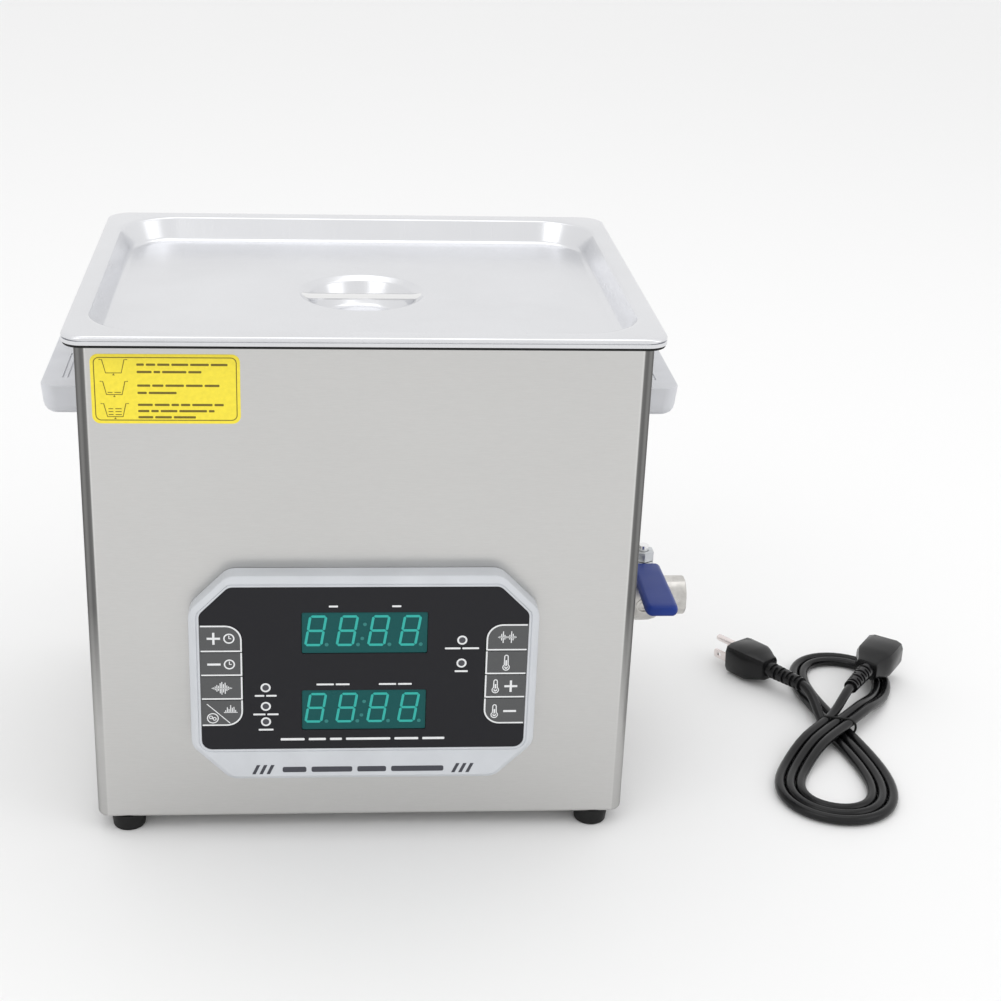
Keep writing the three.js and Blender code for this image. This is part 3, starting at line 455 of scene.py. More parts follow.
class Solid:
    """Points and faces in millimetres, gathered into one mesh."""

    def __init__(self):
        self.points, self.faces = [], []

    def add(self, points, faces, place=Matrix()):
        start = len(self.points)
        self.points += [place @ Vector(p) for p in points]
        self.faces += [[start + i for i in face] for face in faces]
        return self

    def loft(self, rings, place=Matrix(), caps=True, closed=True, loop=False):
        """Skin through rings of equal length; `loop` joins the last ring to the first."""
        count = len(rings[0])
        points = [p for ring in rings for p in ring]
        faces = []
        pairs = list(zip(range(len(rings)), range(1, len(rings))))
        if loop:
            pairs.append((len(rings) - 1, 0))
        for low, high in pairs:
            for i in range(count if closed else count - 1):
                j = (i + 1) % count
                faces.append([low * count + i, low * count + j, high * count + j, high * count + i])
        if caps and not loop:
            last = (len(rings) - 1) * count
            faces.append(list(range(count))[::-1])
            faces.append([last + i for i in range(count)])
        return self.add(points, faces, place)

    def prism(self, outline, low, high, place=Matrix()):
        return self.loft([at(outline, low), at(outline, high)], place)

    def lathe(self, profile, steps=48, place=Matrix(), loop=False):
        """Turns [radius, z] pairs about Z; ends on the axis close themselves."""
        rings = [[(*polar(r, a), z) for r, z in profile]
                 for a in (2 * math.pi * i / steps for i in range(steps))]
        return self.loft(rings, place, caps=False, closed=loop, loop=True)

    def ribbon(self, path, width, low, high, closed=False, place=Matrix()):
        """A flat line of even width along a path of (x, y) points."""
        rings = []
        for here, along in directions([Vector(p) for p in path], closed):
            side = Vector((-along.y, along.x)) * width / 2
            a, b = here + side, here - side
            rings.append([(a.x, a.y, low), (a.x, a.y, high), (b.x, b.y, high), (b.x, b.y, low)])
        return self.loft(rings, place, loop=closed)

    def tube(self, path, radius, sides=12, closed=False, place=Matrix()):
        rings = []
        side = None
        for here, along in directions([Vector(p) for p in path], closed):
            if side is None:
                side = along.orthogonal().normalized()
            side = (side - along * side.dot(along)).normalized()
            other = along.cross(side)
            rings.append([here + (side * math.cos(a) + other * math.sin(a)) * radius
                          for a in (2 * math.pi * k / sides for k in range(sides))])
        return self.loft(rings, place, loop=closed)


def build(name, solid, material, body, place=Matrix(), replaces=(), smooth=35):
    """Makes the mesh, welds it, points its faces outwards, and rides it on its body."""
    mesh = bpy.data.meshes.new(name)
    points = [ORIGIN + (place @ p) * MM for p in solid.points]
    mesh.from_pydata([tuple(p) for p in points], [], solid.faces)
    work = bmesh.new()
    work.from_mesh(mesh)
    bmesh.ops.remove_doubles(work, verts=work.verts, dist=1e-6)
    bmesh.ops.dissolve_degenerate(work, edges=work.edges, dist=1e-7)
    bmesh.ops.recalc_face_normals(work, faces=work.faces)
    work.to_mesh(mesh)
    work.free()
    mesh.shade_smooth()
    mesh.set_sharp_from_angle(angle=math.radians(smooth))
    mesh.materials.append(MATERIALS[material])
    piece = bpy.data.objects.new(name, mesh)
    bpy.context.scene.collection.objects.link(piece)
    if body:
        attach(piece, body)
        if replaces:
            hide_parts(*replaces)
    return piece


def soften(piece, width, segments=3, angle=30):
    """Rounds the edges and keeps the flat faces flat."""
    bevel = piece.modifiers.new("edges", "BEVEL")
    bevel.width = width * MM
    bevel.segments = segments
    bevel.limit_method = "ANGLE"
    bevel.angle_limit = math.radians(angle)
    bevel.harden_normals = True
    bevel.use_clamp_overlap = True
    return piece


def even_normals(piece):
    piece.modifiers.new("normals", "WEIGHTED_NORMAL").keep_sharp = True
    return piece


def carve(piece, *cutters):
    """Cuts solids out of a piece and keeps the result as its mesh."""
    for i, cutter in enumerate(cutters):
        tool = build(f"{piece.name}_cutter_{i}", cutter, "zinc", None)
        modifier = piece.modifiers.new(f"cut_{i}", "BOOLEAN")
        modifier.operation = "DIFFERENCE"
        modifier.solver = "EXACT"
        modifier.object = tool
        view = bpy.context.evaluated_depsgraph_get()
        carved = bpy.data.meshes.new_from_object(piece.evaluated_get(view))
        piece.modifiers.remove(modifier)
        old, piece.data = piece.data, carved
        bpy.data.meshes.remove(old)
        bpy.data.objects.remove(tool)
    piece.data.shade_smooth()
    piece.data.set_sharp_from_angle(angle=math.radians(35))
    return piece


def dress(node, material, edge=0.0):
    """Gives a CAD node that keeps its shape a finish and softly broken edges."""
    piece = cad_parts[node]
    piece.data.materials.clear()
    piece.data.materials.append(MATERIALS[material])
    piece.data.shade_smooth()
    piece.data.set_sharp_from_angle(angle=math.radians(32))
    if edge:
        soften(piece, edge, 2, 32)


def shift(x=0.0, y=0.0, z=0.0):
    return Matrix.Translation((x, y, z))


def spin(degrees, axis):
    return Matrix.Rotation(math.radians(degrees), 4, axis)


PANEL_PLACE = shift(0, FRONT, PANEL_HEIGHT) @ spin(90, "X")
REAR_PLACE = shift(0, BACK, 0) @ spin(180, "Z") @ spin(90, "X")
DRAIN_PLACE = shift(SIDE, DRAIN_Y, DRAIN_Z) @ spin(90, "Y")


# ---- lead

LEAD_PLACE = shift(LEAD["x"], LEAD["y"], 0) @ spin(-LEAD["turn"], "Z")
HALF_LOOPS = 5
LOOP_STEPS = 40


def ease(t):
    t = min(max(t, 0), 1)
    return t * t * (3 - 2 * t)


def loop_centre(u):
    """The figure-of-eight's middle line; each half loop takes half a turn of `u`."""
    half = min(int(u / math.pi), HALF_LOOPS - 1)
    t = u - half * math.pi
    side = 1 if half % 2 else -1
    return Vector((LEAD_LOOP["half_width"] * math.sin(2 * t), side * LEAD_LOOP["half_length"] * math.sin(t)))


def loop_point(u):
    half = min(int(u / math.pi), HALF_LOOPS - 1)
    t = u / math.pi - half
    lane = (-1, ease(t) - 1, 0, ease(t), 1)[half]
    small = 1e-4
    along = loop_centre(min(u + small, HALF_LOOPS * math.pi - small ** 2)) - loop_centre(max(u - small, 0))
    along.normalize()
    here = loop_centre(u)
    climb = (t > 0.5) if half % 2 == 0 else (t < 0.5)
    height = LEAD_LOOP["low"]
    if climb:
        beyond = (abs(here.y) - LEAD_LOOP["crossing"]) / LEAD_LOOP["climb"]
        height += (LEAD_LOOP["high"] - height) * (1 - ease(beyond))
    flat = here + Vector((-along.y, along.x)) * lane * LEAD_LOOP["pitch"]
    return Vector((flat.x, flat.y, height))


def bezier(start, start_way, end, end_way, steps=12):
    first, last = start + start_way, end - end_way
    return [(1 - s) ** 3 * start + 3 * (1 - s) ** 2 * s * first + 3 * (1 - s) * s * s * last + s ** 3 * end
            for s in (i / steps for i in range(steps + 1))]


def end_place(end):
    return shift(end["x"], end["y"], end["z"]) @ spin(end["turn"], "Z") @ spin(end["tilt"], "X")


def lead_route():
    last = HALF_LOOPS * math.pi
    margin = 0.02
    count = HALF_LOOPS * LOOP_STEPS
    loops = [loop_point(margin + (last - 2 * margin) * i / (count - 1)) for i in range(count)]
    outward = Vector((0, -1, 0))
    plug, connector = end_place(PLUG_END), end_place(CONNECTOR_END)
    lead_in = bezier(plug.translation, plug.to_3x3() @ outward * 14, loops[0],
                     (loops[1] - loops[0]).normalized() * 16)
    lead_out = bezier(loops[-1], (loops[-1] - loops[-2]).normalized() * 15, connector.translation,
                      connector.to_3x3() @ -outward * 14)
    return [LEAD_PLACE @ p for p in lead_in[:-1] + loops + lead_out[1:]]


def relief_rings(start, end, length=RELIEF_LENGTH, pitch=3.7, depth=1.5, sides=40, step=0.46):
    """A flexible sleeve, with slots cut from its two flanks and from its top and bottom in turn."""
    rings = []
    count = round(length / step)
    for i in range(count + 1):
        y = length * i / count
        radius = (start + (end - start) * y / length) / 2
        slot = int(y / pitch)
        within = y / pitch - slot
        cut = 1 if 0.42 < within < 0.92 and 1.2 < y < length - 2.4 else 0
        ring = []
        for k in range(sides):
            angle = 2 * math.pi * k / sides
            facing = abs(math.cos(angle)) if slot % 2 else abs(math.sin(angle))
            reach = radius - depth * cut * ease((facing - 0.32) / 0.2)
            ring.append((reach * math.cos(angle), y, reach * math.sin(angle)))
        rings.append(ring)
    return rings


def moulded_body_rings(width, thickness, length, corner=5.2, steps=2):
    """Overmoulded body from the relief's end to its flat face, swelling to full size near the middle."""
    rings = []
    stations = [(0, 0.42, 0.52), (0.02, 0.56, 0.68), (0.06, 0.60, 0.72), (0.12, 0.64, 0.75),
                (0.24, 0.80, 0.86), (0.36, 0.93, 0.95), (0.45, 1, 1), (0.70, 1, 1), (0.97, 1, 1),
                (1, 0.97, 0.96)]
    for along, across, high in stations:
        outline = rounded_rect(width * across, thickness * high, corner * min(across, high), steps)
        rings.append([(x, RELIEF_LENGTH + along * length, z) for x, z in outline])
    return rings


def moulded_end(name, end, body, node):
    place = LEAD_PLACE @ end_place(end)
    shape = Solid()
    shape.loft(relief_rings(9.5, 11.4), place)
    shape.loft(moulded_body_rings(*body), place)
    piece = build(name, shape, "jacket", "cabinet", replaces=(node,), smooth=32)
    return soften(piece, 0.35, 2, 32)


def make_lead():
    route = lead_route()
    jacket = build("lead", Solid().tube(route, LEAD["diameter"] / 2, 20), "jacket", "cabinet",
                   replaces=("cord_hank",), smooth=60)
    connector = moulded_end("lead_connector", CONNECTOR_END, CONNECTOR_BODY, "cord_connector")
    plug = moulded_end("lead_plug", PLUG_END, PLUG_BODY, "cord_plug")

    face = RELIEF_LENGTH + PLUG_BODY[2]
    plug_place = LEAD_PLACE @ end_place(PLUG_END)
    earth = Solid().lathe([(0, 0), (2.4, 0), (2.4, 18.6), (2.1, 20), (1.3, 20.8), (0, 21)], 32)
    along = spin(-90, "X")
    pins = [build("earth_pin", earth, "pin", "cabinet",
                  plug_place @ shift(0, face, 6) @ along, ("plug_earth_pin",))]
    blade_outline = filleted([(-3.15, 0), (3.15, 0), (3.15, 17), (-3.15, 17)], [0.2, 0.2, 1.6, 1.6], 5)
    for side, node in ((-1, "plug_blade_left"), (1, "plug_blade_right")):
        stand = plug_place @ shift(6.35 * side, face, -3) @ spin(90, "Y")
        blade = build(node.replace("plug_", ""), Solid().prism(blade_outline, -0.75, 0.75, stand), "pin",
                      "cabinet", replaces=(node,))
        carve(blade, Solid().prism(circle(1.6, 24, 0, 12), -2, 2, stand))
        pins.append(soften(blade, 0.15, 2))

    contacts = Solid()
    connector_place = LEAD_PLACE @ end_place(CONNECTOR_END)
    for x, z in ((0, 3.5), (-7, -3.5), (7, -3.5)):
        contacts.prism(rounded_rect(2.6, 5, 0.4, 3), 0, 0.12,
                       connector_place @ shift(x, RELIEF_LENGTH + CONNECTOR_BODY[2], z) @ spin(-90, "X"))
    openings = build("connector_openings", contacts, "rubber", "cabinet")

    tie_line = [(x, 0, 7.05 + z) for x, z in rounded_rect(25, 12.5, 6, 8)]
    tie = build("lead_tie", Solid().tube(tie_line, 0.8, 10, True, LEAD_PLACE), "rubber", "cabinet")


# ---- cabinet and feet

def make_cabinet():
    width, depth = CABINET_HIGH.x - CABINET_LOW.x, CABINET_HIGH.y - CABINET_LOW.y
    wall = 1.5
    hem = [(1.4, 0), (0.5, 0.35), (0.1, 1.1), (0, 2.2)]
    rings = []
    for inset, rise in hem:
        outline = rounded_rect(width - 2 * inset, depth - 2 * inset, CORNER - inset, 12)
        rings.append(at(outline, CABINET_LOW.z + rise))
    rings.append(at(rounded_rect(width, depth, CORNER, 12), CABINET_HIGH.z))
    inside = rounded_rect(width - 2 * wall, depth - 2 * wall, CORNER - wall, 12)
    rings += [at(inside, CABINET_HIGH.z), at(inside, CABINET_LOW.z)]
    shell = build("cabinet_sheet", Solid().loft(rings, loop=True), "sheet", "cabinet",
                  replaces=("cabinet_shell",))
    fan = Solid().prism(circle(38, 64, *FAN), -6, 6, REAR_PLACE)
    inlet = Solid().prism(moved(rounded_rect(28, 20, 1.5, 4), *INLET), -6, 6, REAR_PLACE)
    rocker = Solid().prism(moved(rounded_rect(27, 21, 1.5, 4), *ROCKER), -6, 6, REAR_PLACE)
    drain = Solid().prism(circle(10.4, 48), -6, 6, DRAIN_PLACE)
    carve(shell, fan, inlet, rocker, drain)
    even_normals(shell)

    for node in ("foot_front_left", "foot_front_right", "foot_back_left", "foot_back_right"):
        low, high = size(node)
        profile = [(0, 0), (8.6, 0), (9.3, 0.3), (9.7, 1), (10.5, 8.8), (10.4, 9.6), (9.9, 10), (0, 10)]
        centre = (low + high) / 2
        foot = Solid().lathe(profile, 48, shift(centre.x, centre.y, low.z))
        build(node.replace("foot", "rubber_foot"), foot, "rubber", "cabinet",
              replaces=(node,), smooth=50)


# ---- lid, seal and carrying strap

def lid_outline(inset, steps=16):
    """The lid's outline a distance in from its edge: border, then the recess's slope."""
    edge = (LID_HIGH.x * 2, LID_HIGH.y * 2, 12)
    brink = (RECESS["width"], RECESS["depth"], RECESS["radius"])
    foot = (brink[0] - 2 * RECESS["run"], brink[1] - 2 * RECESS["run"], brink[2] - RECESS["run"])
    border = (edge[0] - brink[0]) / 2
    if inset <= border:
        width, depth, radius = blended(edge, brink, inset / border)
    else:
        width, depth, radius = blended(brink, foot, (inset - border) / RECESS["run"])
    return rounded_rect(width, depth, max(radius, 2), steps)


def lid_surface(rise):
    """Rings from the skirt's hem up and in to the middle of the finger dish.

    The sheet's other side is the same surface moved by `rise`.
    """
    border = LID_HIGH.x - RECESS["width"] / 2
    line = [(0, LID_HIGH.z - 5), (0, TOP), (border, TOP), (border + RECESS["run"], RECESS_FLOOR),
            (border + RECESS["run"] + 12, RECESS_FLOOR)]
    line = rounded_path(line, (1.7, 2.6, 4.5), 7)
    if rise:
        line = offset_path(line, rise)
    else:
        groove = [(0, 2.1), (0.5, 2.3), (0.55, 2.7), (0.05, 2.95)]
        line[1:1] = [(depth, LID_HIGH.z - 5 + height) for depth, height in groove]
    rings = [at(lid_outline(max(inset, 0.0)), z) for inset, z in line]
    if rise:
        rings[0] = at(lid_outline(-rise), LID_HIGH.z - 5)
    count = len(rings[0])
    bottom = RECESS_FLOOR - DISH["depth"]
    dish = [(DISH["shoulder"] + 6, RECESS_FLOOR), (DISH["shoulder"], RECESS_FLOOR),
            (DISH["radius"] + 2.2, RECESS_FLOOR - DISH["drop"]), (DISH["radius"] - 1.2, bottom + 6),
            (24, bottom), (6, bottom), (0.2, bottom)]
    dish = offset_path(rounded_path(dish, (3.5, 2.4, 5, 5, 0), 6), -rise)
    return rings + [at(circle(radius, count), z) for radius, z in dish]


def make_lid():
    sheet = Solid().loft(lid_surface(0)[::-1] + lid_surface(-SHEET))
    build("lid_pressing", sheet, "pressing", "lid", replaces=("lid",), smooth=40)


def make_strap():
    """A thin bridge across the finger dish, its ends lifted a little and its edges rounded over."""
    end, half_width, half_sheet = size("lid_strap")[1].x, 5.2, 0.9
    right_half = [(end - 4.5, 298.2), (end - 2, 298.7), (end, 298.9)]
    bridge = rounded_path([(-x, z) for x, z in right_half[::-1]] + right_half, (0, 2, 2, 0), 5)
    rings = []
    for (x, z), (_, under) in zip(offset_path(bridge, half_sheet), offset_path(bridge, -half_sheet)):
        across = [(-1, under), (-1, z - 0.8), (-0.6, z - 0.1), (0, z), (0.6, z - 0.1), (1, z - 0.8),
                  (1, under)]
        rings.append([(x, half_width * share, height) for share, height in across])
    build("lid_handle_strap", Solid().loft(rings), "bright", "lid", replaces=("lid_strap",),
          smooth=50)


def make_seal():
    low, high = size("rim_seal")

    def outer(inset):
        return rounded_rect(2 * (high.x - inset), 2 * (high.y - inset), 11.3 - inset)

    inner = rounded_rect(310.4, 250.4, 26)
    height = high.z - low.z
    rings = [at(outer(0.25), low.z), at(outer(0), low.z + height * 0.3), at(outer(0), high.z - height * 0.3),
             at(outer(0.25), high.z), at(inner, high.z), at(inner, low.z)]
    build("rim_seal_strip", Solid().loft(rings, loop=True), "rubber", "cabinet",
          replaces=("rim_seal",))


# ---- side grips

def make_grips():
    for side, node in ((-1, "grip_left"), (1, "grip_right")):
        low, high = size(node)
        reach, length, height = high.x - low.x, high.y - low.y, high.z - low.z
        inner_x = low.x if side > 0 else high.x

        def ring(inset, draft, z):
            half = length / 2 - inset
            out = reach - inset - draft
            corners = [(0, -half), (out, -half), (out, half), (0, half)]
            outline = filleted(corners, [0.3, max(9 - inset, 3), max(9 - inset, 3), 0.3], 10)
            return [(inner_x + side * x, y, low.z + z) for x, y in outline]

        outer = [ring(5, 1.7, 0), ring(3.1, 1.65, 0.45), ring(1.4, 1.55, 1.7), ring(0.35, 1.3, 3.7),
                 ring(0, 1.1, 6), ring(0, 0, height - 1), ring(0.3, 0, height - 0.3), ring(1, 0, height)]
        grip = build(node + "_moulding", Solid().loft(outer), "grip_plastic", "cabinet",
                     replaces=(node,), smooth=38)
        near, far, half = 3.2, reach - 3.6, length / 2 - 8
        pocket = filleted([(near, -half), (far, -half), (far, half), (near, half)], 4.5)
        pocket = [(inner_x + side * x, y) for x, y in pocket]
        cuts = [Solid().prism(pocket, low.z - 2, low.z + height - 3)]
        for out in (14.7, 17.7):
            groove = moved(rounded_rect(0.9, 45, 0.4, 4), inner_x + side * out, -17.5)
            cuts.append(Solid().prism(groove, high.z - 0.7, high.z + 1))
        carve(grip, *cuts)
        even_normals(soften(grip, 0.35, 2, 40))


# ---- control panel

FACE = OVERLAY["face"] + 0.02
INK = 0.12
KEY_NODES = {(-1, 0): "key_time_up", (-1, 1): "key_time_down", (-1, 2): "key_full_wave",
             (-1, 3): "key_degas_half_wave", (1, 0): "key_sweep", (1, 1): "key_heat",
             (1, 2): "key_temp_up", (1, 3): "key_temp_down"}


def make_bezel():
    width, height = BEZEL_HIGH.x - BEZEL_LOW.x, BEZEL_HIGH.z - BEZEL_LOW.z

    def outer(inset, z):
        return at(filleted(chamfered(width, height, 22.5, 22.5, inset), max(11 - inset, 4), 8), z)

    def window(inset, z):
        x, y = OVERLAY["width"] / 2 - inset, OVERLAY["height"] / 2 - inset
        cut = OVERLAY["chamfer"] - inset * (2 - math.sqrt(2))
        corners = [(x, y - cut), (x - cut, y), (-x + cut, y), (-x, y - cut), (-x, -y), (-x, -y), (x, -y),
                   (x, -y)]
        round_corner = max(OVERLAY["corner"] - inset, 2)
        outline = []
        for i, corner in enumerate(corners):
            before, after = corners[i - 1], corners[(i + 1) % len(corners)]
            if corner in (before, after):
                outline += half_arc(corner, round_corner, corner == after, 8)
            else:
                outline += arc(before, corner, after, round_corner, 8)
        return at(moved(outline, 0, OVERLAY["rise"]), z)

    outside = ((0, 0.3), (0, 10.6), (0.15, 11.2), (0.7, 11.9), (2.5, 13.2), (2.9, 13.6), (3.3, 13.75))
    lip = ((-1.95, 13.75), (-1.75, 13.35), (-1.4, 13.35), (-1.2, 13.85), (-0.8, 13.95), (-0.3, 13.9),
           (-0.1, 13.6), (-0.1, 11.9), (4, 11.9), (4, 9.9))
    inside = ((3.2, 9.9), (3.2, 0.3))
    rings = [outer(*step) for step in outside] + [window(*step) for step in lip]
    rings += [outer(*step) for step in inside]
    bezel = build("panel_bezel_moulding", Solid().loft(rings, PANEL_PLACE, loop=True), "light_plastic",
                  "cabinet", replaces=("panel_bezel",), smooth=28)
    even_normals(bezel)


def ring_line(ink, x, y, radius, stroke, count=28):
    ink.ribbon(circle(radius, count, x, y), stroke, FACE, FACE + INK, True, PANEL_PLACE)


def line(ink, points, stroke):
    ink.ribbon(points, stroke, FACE, FACE + INK, False, PANEL_PLACE)


def bar(ink, x, y, width, height):
    ink.prism(moved(rounded_rect(width, height, min(width, height) * 0.25, 3), x, y), FACE, FACE + INK,
              PANEL_PLACE)


def words(ink, x, y, lengths, height, low=FACE, high=FACE + INK, place=PANEL_PLACE, gap=1.1):
    """A centred row of plain dashes that stands where a printed line would be."""
    start = x - (sum(lengths) + gap * (len(lengths) - 1)) / 2
    for length in lengths:
        dash = rounded_rect(length, height, height * 0.3, 3)
        ink.prism(moved(dash, start + length / 2, y), low, high, place)
        start += length + gap


def sign(ink, x, y, is_plus, reach=3.8, stroke=1.3):
    """A plus or a minus. The plus's arms stop just short of its upright, so nothing is drawn twice."""
    if is_plus:
        gap = stroke / 2 + 0.01
        line(ink, [(x - reach, y), (x - gap, y)], stroke)
        line(ink, [(x + gap, y), (x + reach, y)], stroke)
        line(ink, [(x, y - reach), (x, y + reach)], stroke)
    else:
        line(ink, [(x - reach, y), (x + reach, y)], stroke)


def clock(ink, x, y):
    ring_line(ink, x, y, 2.8, 0.8)
    line(ink, [(x, y + 1.9), (x, y), (x + 1.3, y)], 0.6)


def thermometer(ink, x, y, length):
    """A round bulb under a narrow stem with its fill line."""
    bulb, tip = y - length / 2 + 2.2, y + length / 2 - 1.3
    round_bulb = moved([polar(1.9, math.radians(d)) for d in range(125, 416, 24)], x, bulb)
    cap = moved([polar(1, math.radians(d)) for d in range(0, 181, 30)], x, tip)
    ink.ribbon(round_bulb + cap, 0.6, FACE, FACE + INK, True, PANEL_PLACE)
    line(ink, [(x, bulb), (x, y + length * 0.15)], 0.9)
    ink.prism(circle(1.0, 20, x, bulb), FACE, FACE + INK, PANEL_PLACE)


def burst(ink, x, y, heights, pitch, base=0.5):
    """A row of upright strokes; `base` is the share of each that hangs below the middle line."""
    for i, height in enumerate(heights):
        across = x + (i - (len(heights) - 1) / 2) * pitch
        bar_middle = y + height * (0.5 - base)
        bar(ink, across, bar_middle, 0.55, height)
    line(ink, [(x - len(heights) * pitch / 2 - 0.6, y), (x + len(heights) * pitch / 2 + 0.6, y)], 0.45)


def icon(ink, side, row):
    """The pictogram of one key; side is -1 for the left column, and row 0 is the top one."""
    y = (KEY_ROWS[row] + KEY_ROWS[row + 1]) / 2 - PANEL_HEIGHT
    if side < 0 and row < 2:
        sign(ink, -86.2, y, row == 0)
        clock(ink, -77.4, y)
    elif (side, row) == (-1, 2):
        burst(ink, -82, y, (1.2, 2.4, 4.2, 3.2, 6.6, 8.2, 5.4, 7.2, 3.6, 2.2, 1.2), 0.95)
    elif (side, row) == (-1, 3):
        line(ink, [(-90.8, y + 6.2), (-77.6, y - 6.6)], 0.5)
        ring_line(ink, -87.6, y - 3.2, 3.1, 0.6)
        ring_line(ink, -88.7, y - 2.6, 0.9, 0.5, 18)
        ring_line(ink, -86.6, y - 3.6, 0.9, 0.5, 18)
        burst(ink, -77.2, y + 0.6, (1.4, 3.4, 2.2, 4.8, 3.0, 3.6, 1.6), 0.95, 0)
    elif row == 0:
        burst(ink, 82.1, y, (1.4, 4.2, 7.4, 3.0, 1.2, 1.2, 3.0, 7.4, 4.2, 1.4), 0.95)
    elif row == 1:
        thermometer(ink, 82.1, y, 10.4)
    else:
        thermometer(ink, 76.4, y, 9.2)
        sign(ink, 85.4, y, row == 2)


def key_border(ink, side, row):
    """The printed edge beside one key, rounded at the block's inner corners, and the line below it."""
    inner = KEY_INNER + 1.0
    outer = OVERLAY["width"] / 2 - 0.6
    top, bottom = (height - PANEL_HEIGHT for height in KEY_ROWS[row:row + 2])
    edge = [(inner, top - 0.35), (inner, bottom + 0.35)]
    if row == 0:
        edge = rounded_path([(outer, top - 1.0), (inner, top - 1.0), (inner, bottom + 0.35)], (9,), 10)
    elif row == 3:
        edge = rounded_path([(inner, top - 0.35), (inner, bottom + 1.0), (outer, bottom + 1.0)], (9,), 10)
    line(ink, [(side * x, y) for x, y in edge], 0.9)
    if row < 3:
        line(ink, [(side * (inner + 0.45), bottom + 0.75), (side * outer, bottom + 0.75)], 0.9)


def make_keys():
    for (side, row), node in KEY_NODES.items():
        dress(node, "key")
        ink = Solid()
        key_border(ink, side, row)
        icon(ink, side, row)
        build(node + "_print", ink, "white_ink", node + "_cap")


DISPLAY_HEIGHTS = {"display_timer": 140.5, "display_temperature": 90.3}
DIGIT_FACE = 13.3
SEGMENTS = [((0, 2), (1, 2)), ((1, 2), (1, 1)), ((1, 1), (1, 0)), ((0, 0), (1, 0)), ((0, 1), (0, 0)),
            ((0, 2), (0, 1)), ((0, 1), (1, 1))]


def digit_shapes(shape, x, y, width=9.0, height=18.2, stroke=1.5, slant=2.9):
    """All seven strokes of one display digit, leaning a little to the right."""
    def corner(u, v):
        return Vector((x + (u - 0.5) * width + slant * (v / 2 - 0.5), y + (v / 2 - 0.5) * height))

    for start, end in SEGMENTS:
        a, b = corner(*start), corner(*end)
        along = (b - a).normalized()
        side = Vector((-along.y, along.x)) * stroke / 2
        gap, tip = 0.16, stroke / 2
        p, q = a + along * gap, b - along * gap
        outline = [p, p + along * tip + side, q - along * tip + side, q, q - along * tip - side,
                   p + along * tip - side]
        shape.prism([tuple(v) for v in outline], DIGIT_FACE, DIGIT_FACE + 0.1, PANEL_PLACE)


def make_displays():
    for node, centre in DISPLAY_HEIGHTS.items():
        dress(node, "window")
        y = centre - PANEL_HEIGHT + 1.4
        digits, dots = Solid(), Solid()
        for x in (-28, -10, 8, 26):
            digit_shapes(digits, x, y)
            dots.prism(circle(1.15, 20, x + 6.2, y - 8.9), DIGIT_FACE, DIGIT_FACE + 0.1, PANEL_PLACE)
        for rise in (-5, 4):
            dots.prism(circle(1.1, 20, -0.6 + 0.16 * rise, y + rise), DIGIT_FACE, DIGIT_FACE + 0.1,
                       PANEL_PLACE)
        build(node + "_digits", digits, "digit", "cabinet")
        build(node + "_dots", dots, "dim_digit", "cabinet")


def make_overlay():
    dress("panel_overlay", "overlay", 0.25)
    ink = Solid()
    lenses = Solid()
    lamps = [(-56.9, -3.9), (-56.9, -16.2), (-56.9, -26.4), (56.1, 26.3), (56.1, 11.4)]
    captions = [(5.5, 6), (7, 6.5), (8.6,), (9, 9.6), (7.6,)]
    for (x, y), caption in zip(lamps, captions):
        ring_line(ink, x, y, 2.42, 1.0)
        words(ink, x, y - 5.3, caption, 1.1)
        dome = [(1.9, 0), (1.75, 0.28), (1.3, 0.5), (0.7, 0.62), (0, 0.66)]
        lenses.lathe([(0, 0)] + dome, 28, PANEL_PLACE @ shift(x, y, FACE))
    for x, y, caption in ((-18, 48.2, (5.2,)), (18, 48.2, (5.2,)), (-18, -2.0, (10, 8)), (18, -2.0, (10, 8))):
        words(ink, x, y, caption, 1.1)
    words(ink, -0.5, -38.3, (14, 10, 7, 26, 14, 13), 1.5, gap=2.4)
    build("overlay_print", ink, "white_ink", "cabinet")
    build("overlay_lamps", lenses, "lens", "cabinet", smooth=60)

    strip = Solid()
    front = 13.77
    for side in (-1, 1):
        for i in range(3):
            x = side * (54.6 + 4.2 * i)
            slash = [(x - 2.4, -61.8), (x - 0.4, -61.8), (x + 2.4, -55.6), (x + 0.4, -55.6)]
            strip.prism(slash, front, front + 0.08, PANEL_PLACE)
    words(strip, 0, -58.8, (14, 24, 17, 31), 3.6, front, front + 0.08, gap=3)
    build("bezel_print", strip, "dark_ink", "cabinet")


# ---- instruction label

